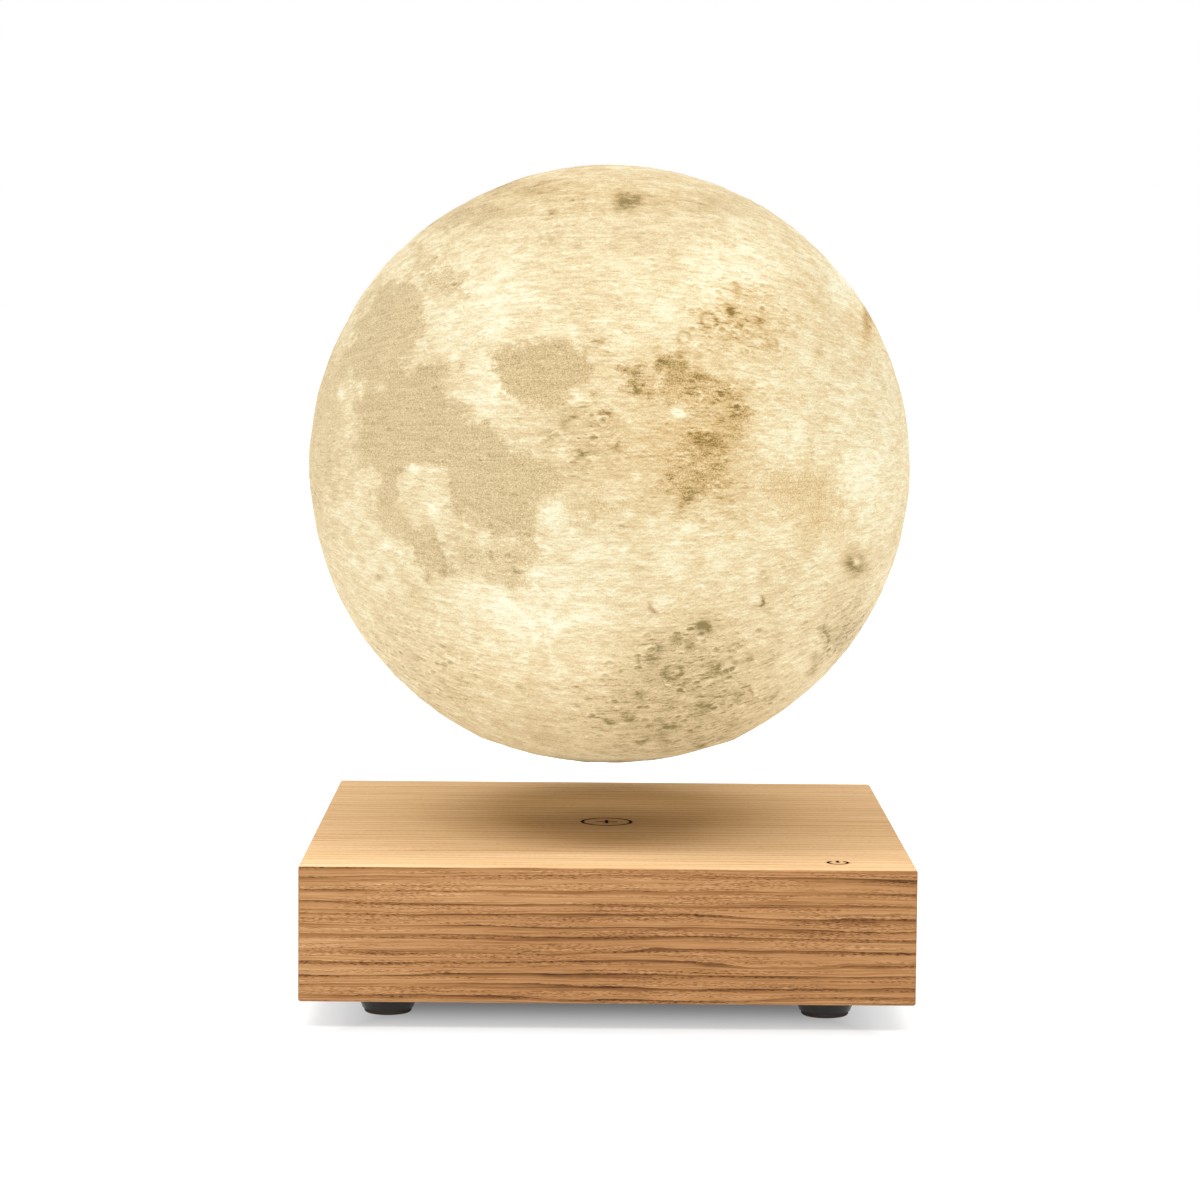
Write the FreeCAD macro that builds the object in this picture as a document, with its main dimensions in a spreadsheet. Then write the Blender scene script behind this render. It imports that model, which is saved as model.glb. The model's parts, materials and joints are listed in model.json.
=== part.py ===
import FreeCAD, Part
import math
import os
import re

import Sketcher
from FreeCAD import Rotation, Vector

# A moon lamp that floats over a square wooden box. Millimetres, +Z up, the front faces -Y.
# The origin is on the table, under the middle of the box.

SIZES = [
    # the whole lamp
    ("moon_radius", 75, "outer radius of the moon"),
    ("base_width", 144, "side of the square box"),
    ("base_height", 32, "height of the box without its feet"),
    ("foot_height", 6, "table to the underside of the box"),
    ("float_gap", 15.5, "top of the box to the lowest point of the moon"),
    # the box
    ("board_thickness", 5, "oak boards and top panel"),
    ("edge_ease", 0.6, "rounding of the outer edges"),
    ("recess_margin", 5, "round recess under the top panel, beyond the module frame"),
    ("recess_depth", 2.5, "depth of that recess"),
    ("plate_thickness", 3, "bottom plate"),
    ("plate_gap", 0.3, "bottom plate to the boards, all round"),
    ("plate_corner", 2, "rounding of the bottom plate's corners"),
    ("block_width", 20, "side of a glued corner block"),
    ("block_height", 10, "height of a glued corner block"),
    # marks burnt into the top panel
    ("mark_depth", 0.3, "depth of a burnt line"),
    ("mark_line", 0.45, "width of a burnt line"),
    ("ring_mark_radius", 6.35, "outer radius of the middle ring"),
    ("cross_mark_length", 5, "length of the cross in the ring"),
    ("touch_side_inset", 17.9, "touch mark to the right side of the box"),
    ("touch_front_inset", 10.5, "touch mark to the front of the box"),
    ("touch_mark_radius", 2.55, "outer radius of the touch mark"),
    ("touch_mark_gap", 70, "open angle of the touch mark, in degrees"),
    ("touch_bar_length", 2.6, "bar of the touch mark"),
    # feet
    ("foot_inset", 19.9, "foot centre to the sides of the box"),
    ("foot_top_radius", 8, "foot cup against the bottom plate"),
    ("foot_low_radius", 6.1, "foot cup at its lower rim"),
    ("pad_radius", 5.65, "soft pad under a foot"),
    ("pad_height", 1.1, "pad that stands out of its cup"),
    ("pad_seat", 0.9, "pad inside its cup"),
    ("pad_ease", 0.3, "rounding of the pad's lower edge"),
    # screws
    ("foot_screw_radius", 1.5, "shank of a foot screw"),
    ("foot_screw_grip", 8, "foot screw inside its corner block"),
    ("foot_head_radius", 2.8, "head of a foot screw"),
    ("foot_head_height", 1.6, "head of a foot screw"),
    ("module_screw_radius", 1.3, "shank of a module screw"),
    ("module_screw_grip", 3, "module screw inside its pillar"),
    ("module_head_radius", 2.6, "head of a module screw"),
    ("module_head_height", 1.7, "head of a module screw"),
    ("lamp_screw_radius", 0.9, "shank of a lamp screw"),
    ("lamp_screw_grip", 4, "lamp screw inside its boss"),
    ("lamp_head_radius", 1.8, "head of a lamp screw"),
    ("lamp_head_height", 1.3, "head of a lamp screw"),
    ("screw_clearance", 0.2, "screw to a hole that it passes through"),
    ("fit_gap", 0.05, "between round pieces that are pressed or glued together"),
    # control board
    ("pillar_radius", 3.5, "pillars and legs that carry the boards"),
    ("leg_height", 3.9, "control board to the module frame"),
    ("pcb_thickness", 1.6, "control board"),
    ("pcb_side_gap", 2, "control board to the corner blocks"),
    ("pcb_corner", 2, "rounding of its corners"),
    ("pcb_rear_gap", 3, "control board to the rear board"),
    ("pcb_front_gap", 13, "control board to the front board"),
    ("pcb_margin", 1, "tall parts to the rear edge of the control board"),
    ("pcb_small_thickness", 1, "small circuit boards"),
    ("capacitor_radius", 4, "round capacitors"),
    ("capacitor_height", 11, "round capacitors"),
    ("inductor_width", 10, "square inductor"),
    ("inductor_height", 5, "square inductor"),
    ("chip_width", 6.5, "chips and transistors"),
    ("chip_height", 1.5, "chips"),
    ("transistor_height", 2.3, "transistors"),
    # levitation module
    ("frame_jack_gap", 4.7, "module frame to the power jack"),
    ("ring_magnet_bore", 28, "ring magnet inside, as a radius"),
    ("ring_magnet_height", 12, "ring magnet and coils"),
    ("ring_magnet_gap", 0.2, "ring magnet to the rim of its frame"),
    ("frame_wall", 1.8, "rim of the module frame"),
    ("frame_floor", 2, "floor of the module frame"),
    ("frame_rim", 4, "rim above the floor of the module frame"),
    ("ear_reach", 4.5, "module screws outside the rim of the module frame"),
    ("ear_radius", 6.2, "screw ears of the module frame"),
    ("coil_reach", 16, "electromagnets to the middle"),
    ("flange_radius", 10, "flanges of a bobbin"),
    ("flange_thickness", 1, "flanges of a bobbin"),
    ("tube_radius", 5, "tube of a bobbin"),
    ("winding_radius", 9.4, "outside of a winding"),
    ("core_radius", 3.5, "steel core of an electromagnet"),
    ("coil_pin_radius", 0.4, "solder pins of a bobbin"),
    ("coil_pin_reach", 7, "solder pins to the middle of their coil"),
    ("post_radius", 2.2, "post under the hall sensor board"),
    ("post_height", 9.2, "frame floor to the hall sensor board"),
    ("hall_board_width", 8, "hall sensor board"),
    ("hall_pin_radius", 0.35, "pins of the hall sensor board"),
    ("hall_pin_reach", 2.9, "those pins to the middle, both ways"),
    ("hall_width", 1.8, "one hall sensor"),
    ("hall_height", 1, "one hall sensor"),
    ("sender_inset", 2, "transmitter coil inside the edge of the ring magnet"),
    ("sender_width", 10, "transmitter coil, inside to outside"),
    ("sender_height", 1.2, "transmitter coil"),
    ("sender_gap", 0.8, "transmitter coil to the wood above it"),
    ("sender_lead_radius", 0.5, "leads of the transmitter coil"),
    ("sender_lead_spread", 3, "between those leads"),
    ("sender_lead_drop", 2.3, "those leads to the side of the module frame"),
    # power inlet
    ("jack_width", 9, "power jack, left to right"),
    ("jack_depth", 12, "power jack behind the rear board"),
    ("jack_height", 11, "power jack"),
    ("jack_axis_height", 6.5, "control board to the axis of the jack"),
    ("nose_radius", 4, "round nose of the jack"),
    ("nose_gap", 0.3, "nose to its hole, and tip to the outside of the board"),
    ("socket_radius", 2.85, "bore that takes a plug"),
    ("socket_depth", 10.5, "depth of that bore"),
    ("jack_pin_radius", 1, "centre pin"),
    ("jack_pin_length", 9.5, "centre pin"),
    # touch switch
    ("touch_board_width", 12, "touch board, left to right"),
    ("touch_board_depth", 10, "touch board, front to rear"),
    ("touch_chip_width", 2.6, "chip of the touch board"),
    ("foil_radius", 4.5, "touch foil under the top panel"),
    ("foil_thickness", 0.2, "touch foil"),
    ("spring_radius", 2.2, "middle of the touch spring's wire"),
    ("spring_wire", 0.25, "radius of the touch spring's wire"),
    ("spring_turns", 5, "turns of the touch spring"),
    ("touch_lead_radius", 0.8, "lead of the touch board"),
    ("touch_lead_clearance", 3, "that lead to the block and to the board's edge"),
    ("lead_bend", 1.8, "bend radius of the leads"),
    # moon shell and cap
    ("shell_wall", 2, "wall of the moon shell"),
    ("cap_shoulder", 1.8, "edge of the bottom cap beyond its spigot"),
    ("cap_flattening", 0.8, "bottom cap above the full ball"),
    ("cap_floor", 4.4, "middle of the bottom cap"),
    ("cap_gap", 0.15, "bottom cap to the edge of the shell"),
    ("rim_thickness", 0.55, "thin edge of the bottom cap"),
    ("lip_thickness", 2, "lip inside the shell"),
    ("lip_gap", 0.3, "lip to the cap's spigot, rim and lugs"),
    ("spigot_wall", 2, "spigot of the bottom cap"),
    ("lug_height", 1.8, "lugs on the spigot"),
    ("lug_reach", 2, "lugs beyond the spigot"),
    ("lug_angle", 30, "one lug, in degrees"),
    ("notch_play", 4, "notch wider than its lug, in degrees"),
    ("lug_turn", 50, "turn from a notch to the locked place, in degrees"),
    # magnet and light in the moon
    ("magnet_radius", 20, "float magnet"),
    ("magnet_height", 8, "float magnet"),
    ("magnet_gap", 0.3, "float magnet to its cup and to the lamp plate"),
    ("cup_wall", 1.7, "cup round the magnet"),
    ("receiver_width", 2.1, "receiver coil, inside to outside"),
    ("receiver_gap", 1, "receiver coil to the lamp plate above it"),
    ("boss_gap", 0.35, "screw bosses to the receiver coil"),
    ("boss_radius", 2.4, "screw bosses"),
    ("boss_inset", 2.3, "middle of a screw boss to the spigot's wall"),
    ("lamp_plate_thickness", 1.5, "plate over the magnet"),
    ("lamp_plate_gap", 0.3, "that plate to the spigot"),
    ("led_reach", 17, "lights to the middle"),
    ("led_width", 5, "one light"),
    ("led_height", 1.6, "one light"),
    ("driver_reach", 6, "driver chips to the middle"),
]

# Levels and radii that follow from the sizes above.
PLACES = [
    ("half_width", "base_width / 2"),
    ("inner_half", "half_width - board_thickness"),
    ("box_top", "foot_height + base_height"),
    ("panel_underside", "box_top - board_thickness"),
    ("recess_top", "panel_underside + recess_depth"),
    ("plate_top", "foot_height + plate_thickness"),
    ("block_top", "plate_top + block_height"),
    ("block_centre", "inner_half - block_width / 2"),
    ("foot_place", "half_width - foot_inset"),
    ("pad_top", "pad_height + pad_seat"),
    # the module hangs its height on the wood above it, and the pillars take up the rest
    ("coil_top", "recess_top - sender_gap - sender_height"),
    ("frame_top", "coil_top - ring_magnet_height"),
    ("frame_underside", "frame_top - frame_floor"),
    ("pcb_top", "frame_underside - leg_height"),
    ("pcb_underside", "pcb_top - pcb_thickness"),
    ("pcb_width", "2 * (inner_half - block_width - pcb_side_gap)"),
    ("pcb_rear", "inner_half - pcb_rear_gap"),
    ("pcb_front", "pcb_front_gap - inner_half"),
    ("frame_radius", "inner_half - nose_gap - jack_depth - frame_jack_gap"),
    ("frame_rim_bore", "frame_radius - frame_wall"),
    ("ring_magnet_radius", "frame_rim_bore - ring_magnet_gap"),
    ("sender_radius", "ring_magnet_radius - sender_inset"),
    ("recess_radius", "frame_radius + recess_margin"),
    ("ear_place", "(frame_radius + ear_reach) * sqrt(0.5)"),
    ("hall_board_bottom", "frame_top + post_height"),
    ("hall_board_top", "hall_board_bottom + pcb_small_thickness"),
    ("jack_axis", "pcb_top + jack_axis_height"),
    ("jack_face", "inner_half - nose_gap"),
    ("nose_tip", "half_width - nose_gap"),
    ("socket_end", "nose_tip - socket_depth"),
    ("touch_x", "half_width - touch_side_inset"),
    ("touch_y", "touch_front_inset - half_width"),
    ("touch_board_top", "block_top + pcb_small_thickness"),
    ("foil_underside", "panel_underside - foil_thickness"),
    # the moon, from its lowest point up
    ("moon_bottom", "box_top + float_gap"),
    ("moon_centre", "moon_bottom + moon_radius - cap_flattening"),
    ("cup_bore", "magnet_radius + magnet_gap"),
    ("cup_radius", "cup_bore + cup_wall"),
    ("receiver_bore", "cup_radius + fit_gap"),
    ("receiver_radius", "receiver_bore + receiver_width"),
    ("boss_reach", "receiver_radius + boss_gap + boss_radius"),
    ("spigot_bore", "boss_reach + boss_inset"),
    ("spigot_radius", "spigot_bore + spigot_wall"),
    ("cap_edge_radius", "spigot_radius + cap_shoulder"),
    ("cap_edge", "moon_centre - sqrt(moon_radius ^ 2 - cap_edge_radius ^ 2)"),
    ("cap_rise", "cap_edge - moon_bottom"),
    ("cap_curve", "(cap_edge_radius ^ 2 + cap_rise ^ 2) / (2 * cap_rise)"),
    ("cap_floor_top", "moon_bottom + cap_floor"),
    ("rim_top", "cap_edge + rim_thickness"),
    ("lip_bottom", "rim_top + lip_gap"),
    ("lip_top", "lip_bottom + lip_thickness"),
    ("lip_bore", "spigot_radius + lip_gap"),
    ("lug_bottom", "lip_top + lip_gap"),
    ("lug_radius", "spigot_radius + lug_reach"),
    ("magnet_bottom", "cap_floor_top + magnet_gap"),
    ("lamp_plate_bottom", "magnet_bottom + magnet_height + magnet_gap"),
    ("lamp_plate_top", "lamp_plate_bottom + lamp_plate_thickness"),
    ("lamp_plate_radius", "spigot_bore - lamp_plate_gap"),
    ("led_board_top", "lamp_plate_top + pcb_small_thickness"),
]

CORNERS = {
    "front_left": (-1, -1),
    "front_right": (1, -1),
    "rear_left": (-1, 1),
    "rear_right": (1, 1),
}
SIDES = {"front": 0, "right": 90, "rear": 180, "left": 270}

doc = FreeCAD.newDocument("MoonLamp")
sheet_of = {}
subparts = []


# Sheets and formulas

def linked(formula, home=""):
    """Point each alias in a formula at the sheet that holds it."""
    def link(word):
        sheet = sheet_of.get(word.group())
        return word.group() if sheet in (None, home) else f"{sheet}.{word.group()}"
    return re.sub(r"[a-z]\w*", link, formula)


def fill_sheet(name, rows):
    sheet = doc.addObject("Spreadsheet::Sheet", name)
    for row, (alias, content, note) in enumerate(rows, start=1):
        sheet.set(f"A{row}", alias)
        sheet.set(f"B{row}", content)
        sheet.set(f"C{row}", note)
        sheet.setAlias(f"B{row}", alias)
        sheet_of[alias] = name
    doc.recompute()
    return sheet


def place_rows():
    """Each place as a formula on the aliases before it."""
    for alias, formula in PLACES:
        yield alias, "=" + linked(formula, "Places"), formula
        sheet_of[alias] = "Places"


fill_sheet("Sizes", [(alias, str(number), note) for alias, number, note in SIZES])
places = fill_sheet("Places", list(place_rows()))


def value(formula):
    return float(places.evalExpression(linked(formula, "Places")))


def bind(thing, **formulas):
    for name, formula in formulas.items():
        thing.setExpression(name, linked(formula))
    return thing


def place(thing, x="0", y="0", z="0"):
    for axis, formula in zip("xyz", (x, y, z)):
        if formula != "0":
            thing.setExpression(f"Placement.Base.{axis}", linked(formula))
    return thing


def turn(thing, axis, degrees):
    thing.Placement.Rotation = Rotation(axis, degrees)
    return thing


# Plain shapes

def block(name, length, width, height, x="0", y="0", z="0"):
    """A block centred on x and y that stands on z."""
    piece = bind(doc.addObject("Part::Box", name), Length=length, Width=width, Height=height)
    return place(piece, f"{x} - ({length}) / 2", f"{y} - ({width}) / 2", z)


def rod(name, radius, height, x="0", y="0", z="0"):
    piece = bind(doc.addObject("Part::Cylinder", name), Radius=radius, Height=height)
    return place(piece, x, y, z)


def sector(name, radius, angle, start, height, z):
    """A wedge of a disc that covers angle degrees from start."""
    piece = bind(doc.addObject("Part::Cylinder", name), Radius=radius, Height=height, Angle=angle)
    piece.setExpression("Placement.Rotation.Angle", linked(start))
    return place(piece, z=z)


def ball(name, radius, z):
    return place(bind(doc.addObject("Part::Sphere", name), Radius=radius), z=z)


def fuse(name, *shapes):
    piece = doc.addObject("Part::MultiFuse", name)
    piece.Shapes = list(shapes)
    return piece


def cut(name, base, *tools):
    piece = doc.addObject("Part::Cut", name)
    piece.Base = base
    piece.Tool = tools[0] if len(tools) == 1 else fuse(name + "_tools", *tools)
    return piece


def common(name, base, tool):
    piece = doc.addObject("Part::Common", name)
    piece.Base = base
    piece.Tool = tool
    return piece


def group(name, solids):
    piece = doc.addObject("Part::Compound", name)
    piece.Links = list(solids)
    return piece


def subpart(piece, label):
    piece.Label = label
    subparts.append(piece)
    return piece


# Sketched bodies

def sketch_on(body, role, corners):
    """A closed outline on one of the body's planes, each corner bound to its two formulas."""
    plane = next(face for face in body.Origin.OriginFeatures if face.Role == role)
    sketch = body.newObject("Sketcher::SketchObject", body.Name + "_outline")
    sketch.AttachmentSupport = [(plane, "")]
    sketch.MapMode = "FlatFace"
    points = [Vector(value(across), value(up), 0) for across, up in corners]
    for point, after in zip(points, points[1:] + points[:1]):
        sketch.addGeometry(Part.LineSegment(point, after), False)
    for number in range(len(points)):
        following = (number + 1) % len(points)
        sketch.addConstraint(Sketcher.Constraint("Coincident", number, 2, following, 1))
    for number, (corner, point) in enumerate(zip(corners, points)):
        for kind, formula, distance in zip("XY", corner, point):
            name = f"{kind.lower()}{number}"
            rule = Sketcher.Constraint("Distance" + kind, -1, 1, number, 1, distance)
            sketch.renameConstraint(sketch.addConstraint(rule), name)
            if formula != "0":
                sketch.setExpression("Constraints." + name, linked(formula))
    return sketch


def turned(name, corners, x="0", y="0"):
    """A body turned about its own Z axis: corners are (radius, height) formulas."""
    body = doc.addObject("PartDesign::Body", name)
    sketch = sketch_on(body, "XZ_Plane", corners)
    turning = body.newObject("PartDesign::Revolution", name + "_turning")
    turning.Profile = sketch
    turning.ReferenceAxis = (sketch, ["V_Axis"])
    turning.Angle = 360
    return place(body, x, y)


def ring(name, radius, bore, bottom, top, x="0", y="0"):
    return turned(name, [(bore, bottom), (radius, bottom), (radius, top), (bore, top)], x, y)


def disc(name, radius, bottom, top, x="0", y="0"):
    return ring(name, radius, "0", bottom, top, x, y)


def slab(name, width, depth, thickness, corner, y="0", z="0"):
    """A flat plate with rounded corners."""
    body = doc.addObject("PartDesign::Body", name)
    right, rear = f"({width}) / 2", f"({depth}) / 2"
    left, front = "-" + right, "-" + rear
    sketch = sketch_on(body, "XY_Plane", [(left, front), (right, front), (right, rear), (left, rear)])
    pad = body.newObject("PartDesign::Pad", name + "_pad")
    pad.Profile = sketch
    bind(pad, Length=thickness)
    doc.recompute()
    upright = [
        f"Edge{number}" for number, edge in enumerate(pad.Shape.Edges, start=1)
        if abs(edge.tangentAt(edge.FirstParameter).z) > 0.99
    ]
    rounding = body.newObject("PartDesign::Fillet", name + "_rounding")
    rounding.Base = (pad, upright)
    bind(rounding, Radius=corner)
    return place(body, y=y, z=z)


def screws(name, spots, sizes, tip, head_bottom, head_up=True):
    """Plain-shank screws at the given spots; sizes are shank radius, head radius and head height."""
    shank, head, height = sizes
    solids = []
    top = f"{head_bottom} + {height}" if head_up else f"{head_bottom} - {height}"
    outline = [("0", tip), (shank, tip), (shank, head_bottom), (head, head_bottom), (head, top), ("0", top)]
    for number, (x, y) in enumerate(spots, start=1):
        solids.append(turned(f"{name}_{number}", outline, x, y))
    return subpart(group(name, solids), name)


def lead(name, radius, corners):
    """A wire on straight runs joined by tangent arcs."""
    bend = value("lead_bend")
    points = [Vector(*(value(formula) for formula in corner)) for corner in corners]
    edges = []
    start = points[0]
    for before, corner, after in zip(points, points[1:], points[2:]):
        back = (before - corner).normalize()
        ahead = (after - corner).normalize()
        half_turn = (math.pi - back.getAngle(ahead)) / 2
        reach = bend * math.tan(half_turn)
        first, last = corner + back * reach, corner + ahead * reach
        middle = corner + (back + ahead).normalize() * bend * (1 / math.cos(half_turn) - 1)
        edges += [Part.LineSegment(start, first).toShape(), Part.Arc(first, middle, last).toShape()]
        start = last
    edges.append(Part.LineSegment(start, points[-1]).toShape())
    section = Part.Wire(Part.makeCircle(value(radius), points[0], points[1] - points[0]))
    piece = doc.addObject("Part::Feature", name)
    piece.Shape = Part.Wire(edges).makePipeShell([section], True, False)
    return piece


# The oak box

def eased_box():
    """The box's outer form with its rounded edges, which every board is cut from."""
    body = doc.addObject("PartDesign::Body", "eased_box")
    square = [("-half_width", "-half_width"), ("half_width", "-half_width"),
              ("half_width", "half_width"), ("-half_width", "half_width")]
    pad = body.newObject("PartDesign::Pad", "eased_box_pad")
    pad.Profile = sketch_on(body, "XY_Plane", square)
    bind(pad, Length="base_height")
    doc.recompute()
    rounding = body.newObject("PartDesign::Fillet", "eased_box_rounding")
    rounding.Base = (pad, [f"Edge{number}" for number in range(1, len(pad.Shape.Edges) + 1)])
    bind(rounding, Radius="edge_ease")
    return place(body, z="foot_height")


def mitred_blank(name, low, high, inner_low, inner_high):
    """A board with its outer face on XZ, cut back at 45 degrees towards its inner face."""
    return bind(
        doc.addObject("Part::Wedge", name),
        Xmin="-half_width", Xmax="half_width", Ymin="0", Ymax="board_thickness", Zmin=low, Zmax=high,
        X2min="-inner_half", X2max="inner_half", Z2min=inner_low, Z2max=inner_high,
    )


def side_board(side, angle, whole):
    """The mitred board on one side of the box."""
    blank = mitred_blank(f"{side}_blank", "0", "base_height", "0", "base_height - board_thickness")
    turn(blank, Vector(0, 0, 1), angle)
    place(blank, f"half_width * sin({angle})", f"-half_width * cos({angle})", "foot_height")
    return common(f"{side}_board_solid", blank, whole)


def box_sides(whole):
    for side, angle in SIDES.items():
        board = side_board(side, angle, whole)
        if side == "rear":
            hole = rod("nose_hole", "nose_radius + nose_gap", "2 * board_thickness")
            turn(hole, Vector(1, 0, 0), -90)
            board = cut("rear_board_drilled", board, place(hole, y="jack_face", z="jack_axis"))
        subpart(board, f"{side}_board")


def burnt_marks():
    """The ring with its cross in the middle, and the touch mark near the right front corner."""
    depth, level = "2 * mark_depth", "box_top - mark_depth"
    hub = rod("ring_mark_hub", "ring_mark_radius - mark_line", depth, z=level)
    marks = [cut("ring_mark", rod("ring_mark_disc", "ring_mark_radius", depth, z=level), hub)]
    marks.append(block("cross_mark_x", "cross_mark_length", "mark_line", depth, z=level))
    marks.append(block("cross_mark_y", "mark_line", "cross_mark_length", depth, z=level))
    arc = sector("touch_mark_disc", "touch_mark_radius", "360 - touch_mark_gap",
                 "90 + touch_mark_gap / 2", depth, level)
    hub = rod("touch_mark_hub", "touch_mark_radius - mark_line", depth, "touch_x", "touch_y", level)
    marks.append(cut("touch_mark", place(arc, "touch_x", "touch_y"), hub))
    marks.append(block("touch_bar", "mark_line", "touch_bar_length", depth, "touch_x",
                       "touch_y + touch_mark_radius - touch_bar_length / 2", level))
    return marks


def top_panel(whole):
    blank = mitred_blank("top_blank", "-half_width", "half_width", "-inner_half", "inner_half")
    turn(blank, Vector(1, 0, 0), -90)
    panel = common("top_panel_solid", place(blank, z="box_top"), whole)
    recess = rod("top_recess", "recess_radius", "recess_depth + board_thickness",
                 z="panel_underside - board_thickness")
    subpart(cut("top_panel_marked", panel, recess, *burnt_marks()), "top_panel")


def corner_spots(place_name):
    return {corner: (f"{across} * {place_name}", f"{along} * {place_name}")
            for corner, (across, along) in CORNERS.items()}


def corner_blocks():
    for corner, (x, y) in corner_spots("block_centre").items():
        piece = block(f"{corner}_block", "block_width", "block_width", "block_height", x, y, "plate_top")
        foot_x, foot_y = corner_spots("foot_place")[corner]
        pilot = rod(f"{corner}_pilot", "foot_screw_radius + fit_gap", "foot_screw_grip + 1",
                    foot_x, foot_y, "plate_top")
        subpart(cut(f"{corner}_block_drilled", piece, pilot), f"corner_block_{corner}")


def bottom_plate():
    """The plate inside the boards, with the four pillars that carry the control board."""
    width = "2 * (inner_half - plate_gap)"
    solids = [slab("bottom_sheet", width, width, "plate_thickness", "plate_corner", z="foot_height")]
    holes = []
    for corner, (x, y) in corner_spots("ear_place").items():
        solids.append(rod(f"{corner}_pillar", "pillar_radius", "pcb_underside - plate_top",
                          x, y, "plate_top"))
        holes.append(rod(f"{corner}_pillar_pilot", "module_screw_radius + fit_gap", "module_screw_grip + 1",
                         x, y, "pcb_underside - module_screw_grip - 1"))
    for corner, (x, y) in corner_spots("foot_place").items():
        holes.append(rod(f"{corner}_foot_hole", "foot_screw_radius + screw_clearance", "3 * plate_thickness",
                         x, y, "foot_height - plate_thickness"))
    subpart(cut("bottom_plate_drilled", fuse("bottom_plate_solid", *solids), *holes), "bottom_plate")


def feet():
    """Each foot is a dark cup that a screw holds to the box, over a soft pad."""
    hole, floor = "foot_screw_radius + screw_clearance", "pad_top + foot_head_height + fit_gap"
    counterbore, seat = "foot_head_radius + screw_clearance", "pad_radius + fit_gap"
    for corner, (x, y) in corner_spots("foot_place").items():
        cup = turned(f"foot_cup_{corner}", [
            (seat, "pad_height"), ("foot_low_radius", "pad_height"), ("foot_top_radius", "foot_height"),
            (hole, "foot_height"), (hole, floor), (counterbore, floor), (counterbore, "pad_top"),
            (seat, "pad_top")], x, y)
        subpart(cup, cup.Name)
        pad = turned(f"foot_pad_{corner}", [
            ("0", "0"), ("pad_radius - pad_ease", "0"), ("pad_radius", "pad_ease"),
            ("pad_radius", "pad_top"), ("0", "pad_top")], x, y)
        subpart(pad, pad.Name)
    screws("foot_screws", corner_spots("foot_place").values(),
           ("foot_screw_radius", "foot_head_radius", "foot_head_height"),
           "plate_top + foot_screw_grip", floor, head_up=False)


# The electronics in the box

def control_board():
    sheet = slab("control_sheet", "pcb_width", "pcb_rear - pcb_front", "pcb_thickness", "pcb_corner",
                 "(pcb_rear + pcb_front) / 2", "pcb_underside")
    holes = [rod(f"{corner}_pcb_hole", "module_screw_radius + screw_clearance", "3 * pcb_thickness",
                 x, y, "pcb_underside - pcb_thickness")
             for corner, (x, y) in corner_spots("ear_place").items()]
    subpart(cut("control_board_drilled", sheet, *holes), "control_board")


def chip_group(name, spots, width, depth, height, level):
    chips = [block(f"{name}_{number}", width, depth, height, x, y, level)
             for number, (x, y) in enumerate(spots, start=1)]
    subpart(group(name + "_set", chips), name)


def board_parts():
    """What stands on the control board: low parts under the frame, tall ones behind it."""
    near, far = "pcb_width / 8", "pcb_width / 4"
    chip_group("control_chips", [(f"-{near}", f"-{far}"), (near, f"-{far}"), (near, far)],
               "chip_width", "chip_width", "chip_height", "pcb_top")
    spots = [(f"{across} * {far}", f"{along} * {near}") for across, along in CORNERS.values()]
    chip_group("power_transistors", spots, "chip_width", "chip_width", "transistor_height", "pcb_top")
    cans = [rod(f"capacitor_{side}", "capacitor_radius", "capacitor_height", f"{across} * pcb_width / 6",
                "pcb_rear - pcb_margin - capacitor_radius", "pcb_top")
            for side, across in (("left", -1), ("right", 1))]
    subpart(group("capacitor_pair", cans), "capacitors")
    coil = block("inductor_block", "inductor_width", "inductor_width", "inductor_height",
                 "pcb_width / 2 - inductor_width", "pcb_rear - pcb_margin - inductor_width / 2", "pcb_top")
    subpart(coil, "inductor")


def along_rear(name, radius, length, start):
    """A rod along +Y on the axis of the power jack."""
    piece = turn(rod(name, radius, length), Vector(1, 0, 0), -90)
    return place(piece, y=start, z="jack_axis")


def power_jack():
    body = block("jack_body", "jack_width", "jack_depth", "jack_height", "0",
                 "jack_face - jack_depth / 2", "pcb_top")
    nose = along_rear("jack_nose", "nose_radius", "nose_tip - jack_face + 1", "jack_face - 1")
    socket = along_rear("jack_socket", "socket_radius", "socket_depth + 1", "socket_end")
    subpart(cut("jack_bored", fuse("jack_solid", body, nose), socket), "power_jack")
    subpart(along_rear("jack_pin_rod", "jack_pin_radius", "jack_pin_length", "socket_end"), "jack_pin")


# The levitation module

def polar(radius, angle):
    return f"{radius} * cos({angle})", f"{radius} * sin({angle})"


def module_frame():
    """A round tray with a rim, four screw ears on legs and a post for the hall sensors."""
    tray = turned("frame_tray", [
        ("0", "frame_underside"), ("frame_radius", "frame_underside"),
        ("frame_radius", "frame_top + frame_rim"), ("frame_rim_bore", "frame_top + frame_rim"),
        ("frame_rim_bore", "frame_top"), ("post_radius", "frame_top"),
        ("post_radius", "hall_board_bottom"), ("0", "hall_board_bottom")])
    solids, holes = [tray], []
    for corner, (x, y) in corner_spots("ear_place").items():
        solids.append(rod(f"{corner}_ear", "ear_radius", "frame_floor", x, y, "frame_underside"))
        solids.append(rod(f"{corner}_leg", "pillar_radius", "leg_height", x, y, "pcb_top"))
        holes.append(rod(f"{corner}_ear_hole", "module_screw_radius + screw_clearance",
                         "leg_height + 2 * frame_floor", x, y, "pcb_top"))
    for number, (x, y) in enumerate(coil_pin_spots() + hall_pin_spots(), start=1):
        holes.append(rod(f"frame_pin_hole_{number}", "coil_pin_radius + screw_clearance", "3 * frame_floor",
                         x, y, "frame_underside - frame_floor"))
    subpart(cut("frame_drilled", fuse("frame_solid", *solids), *holes), "module_frame")


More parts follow.
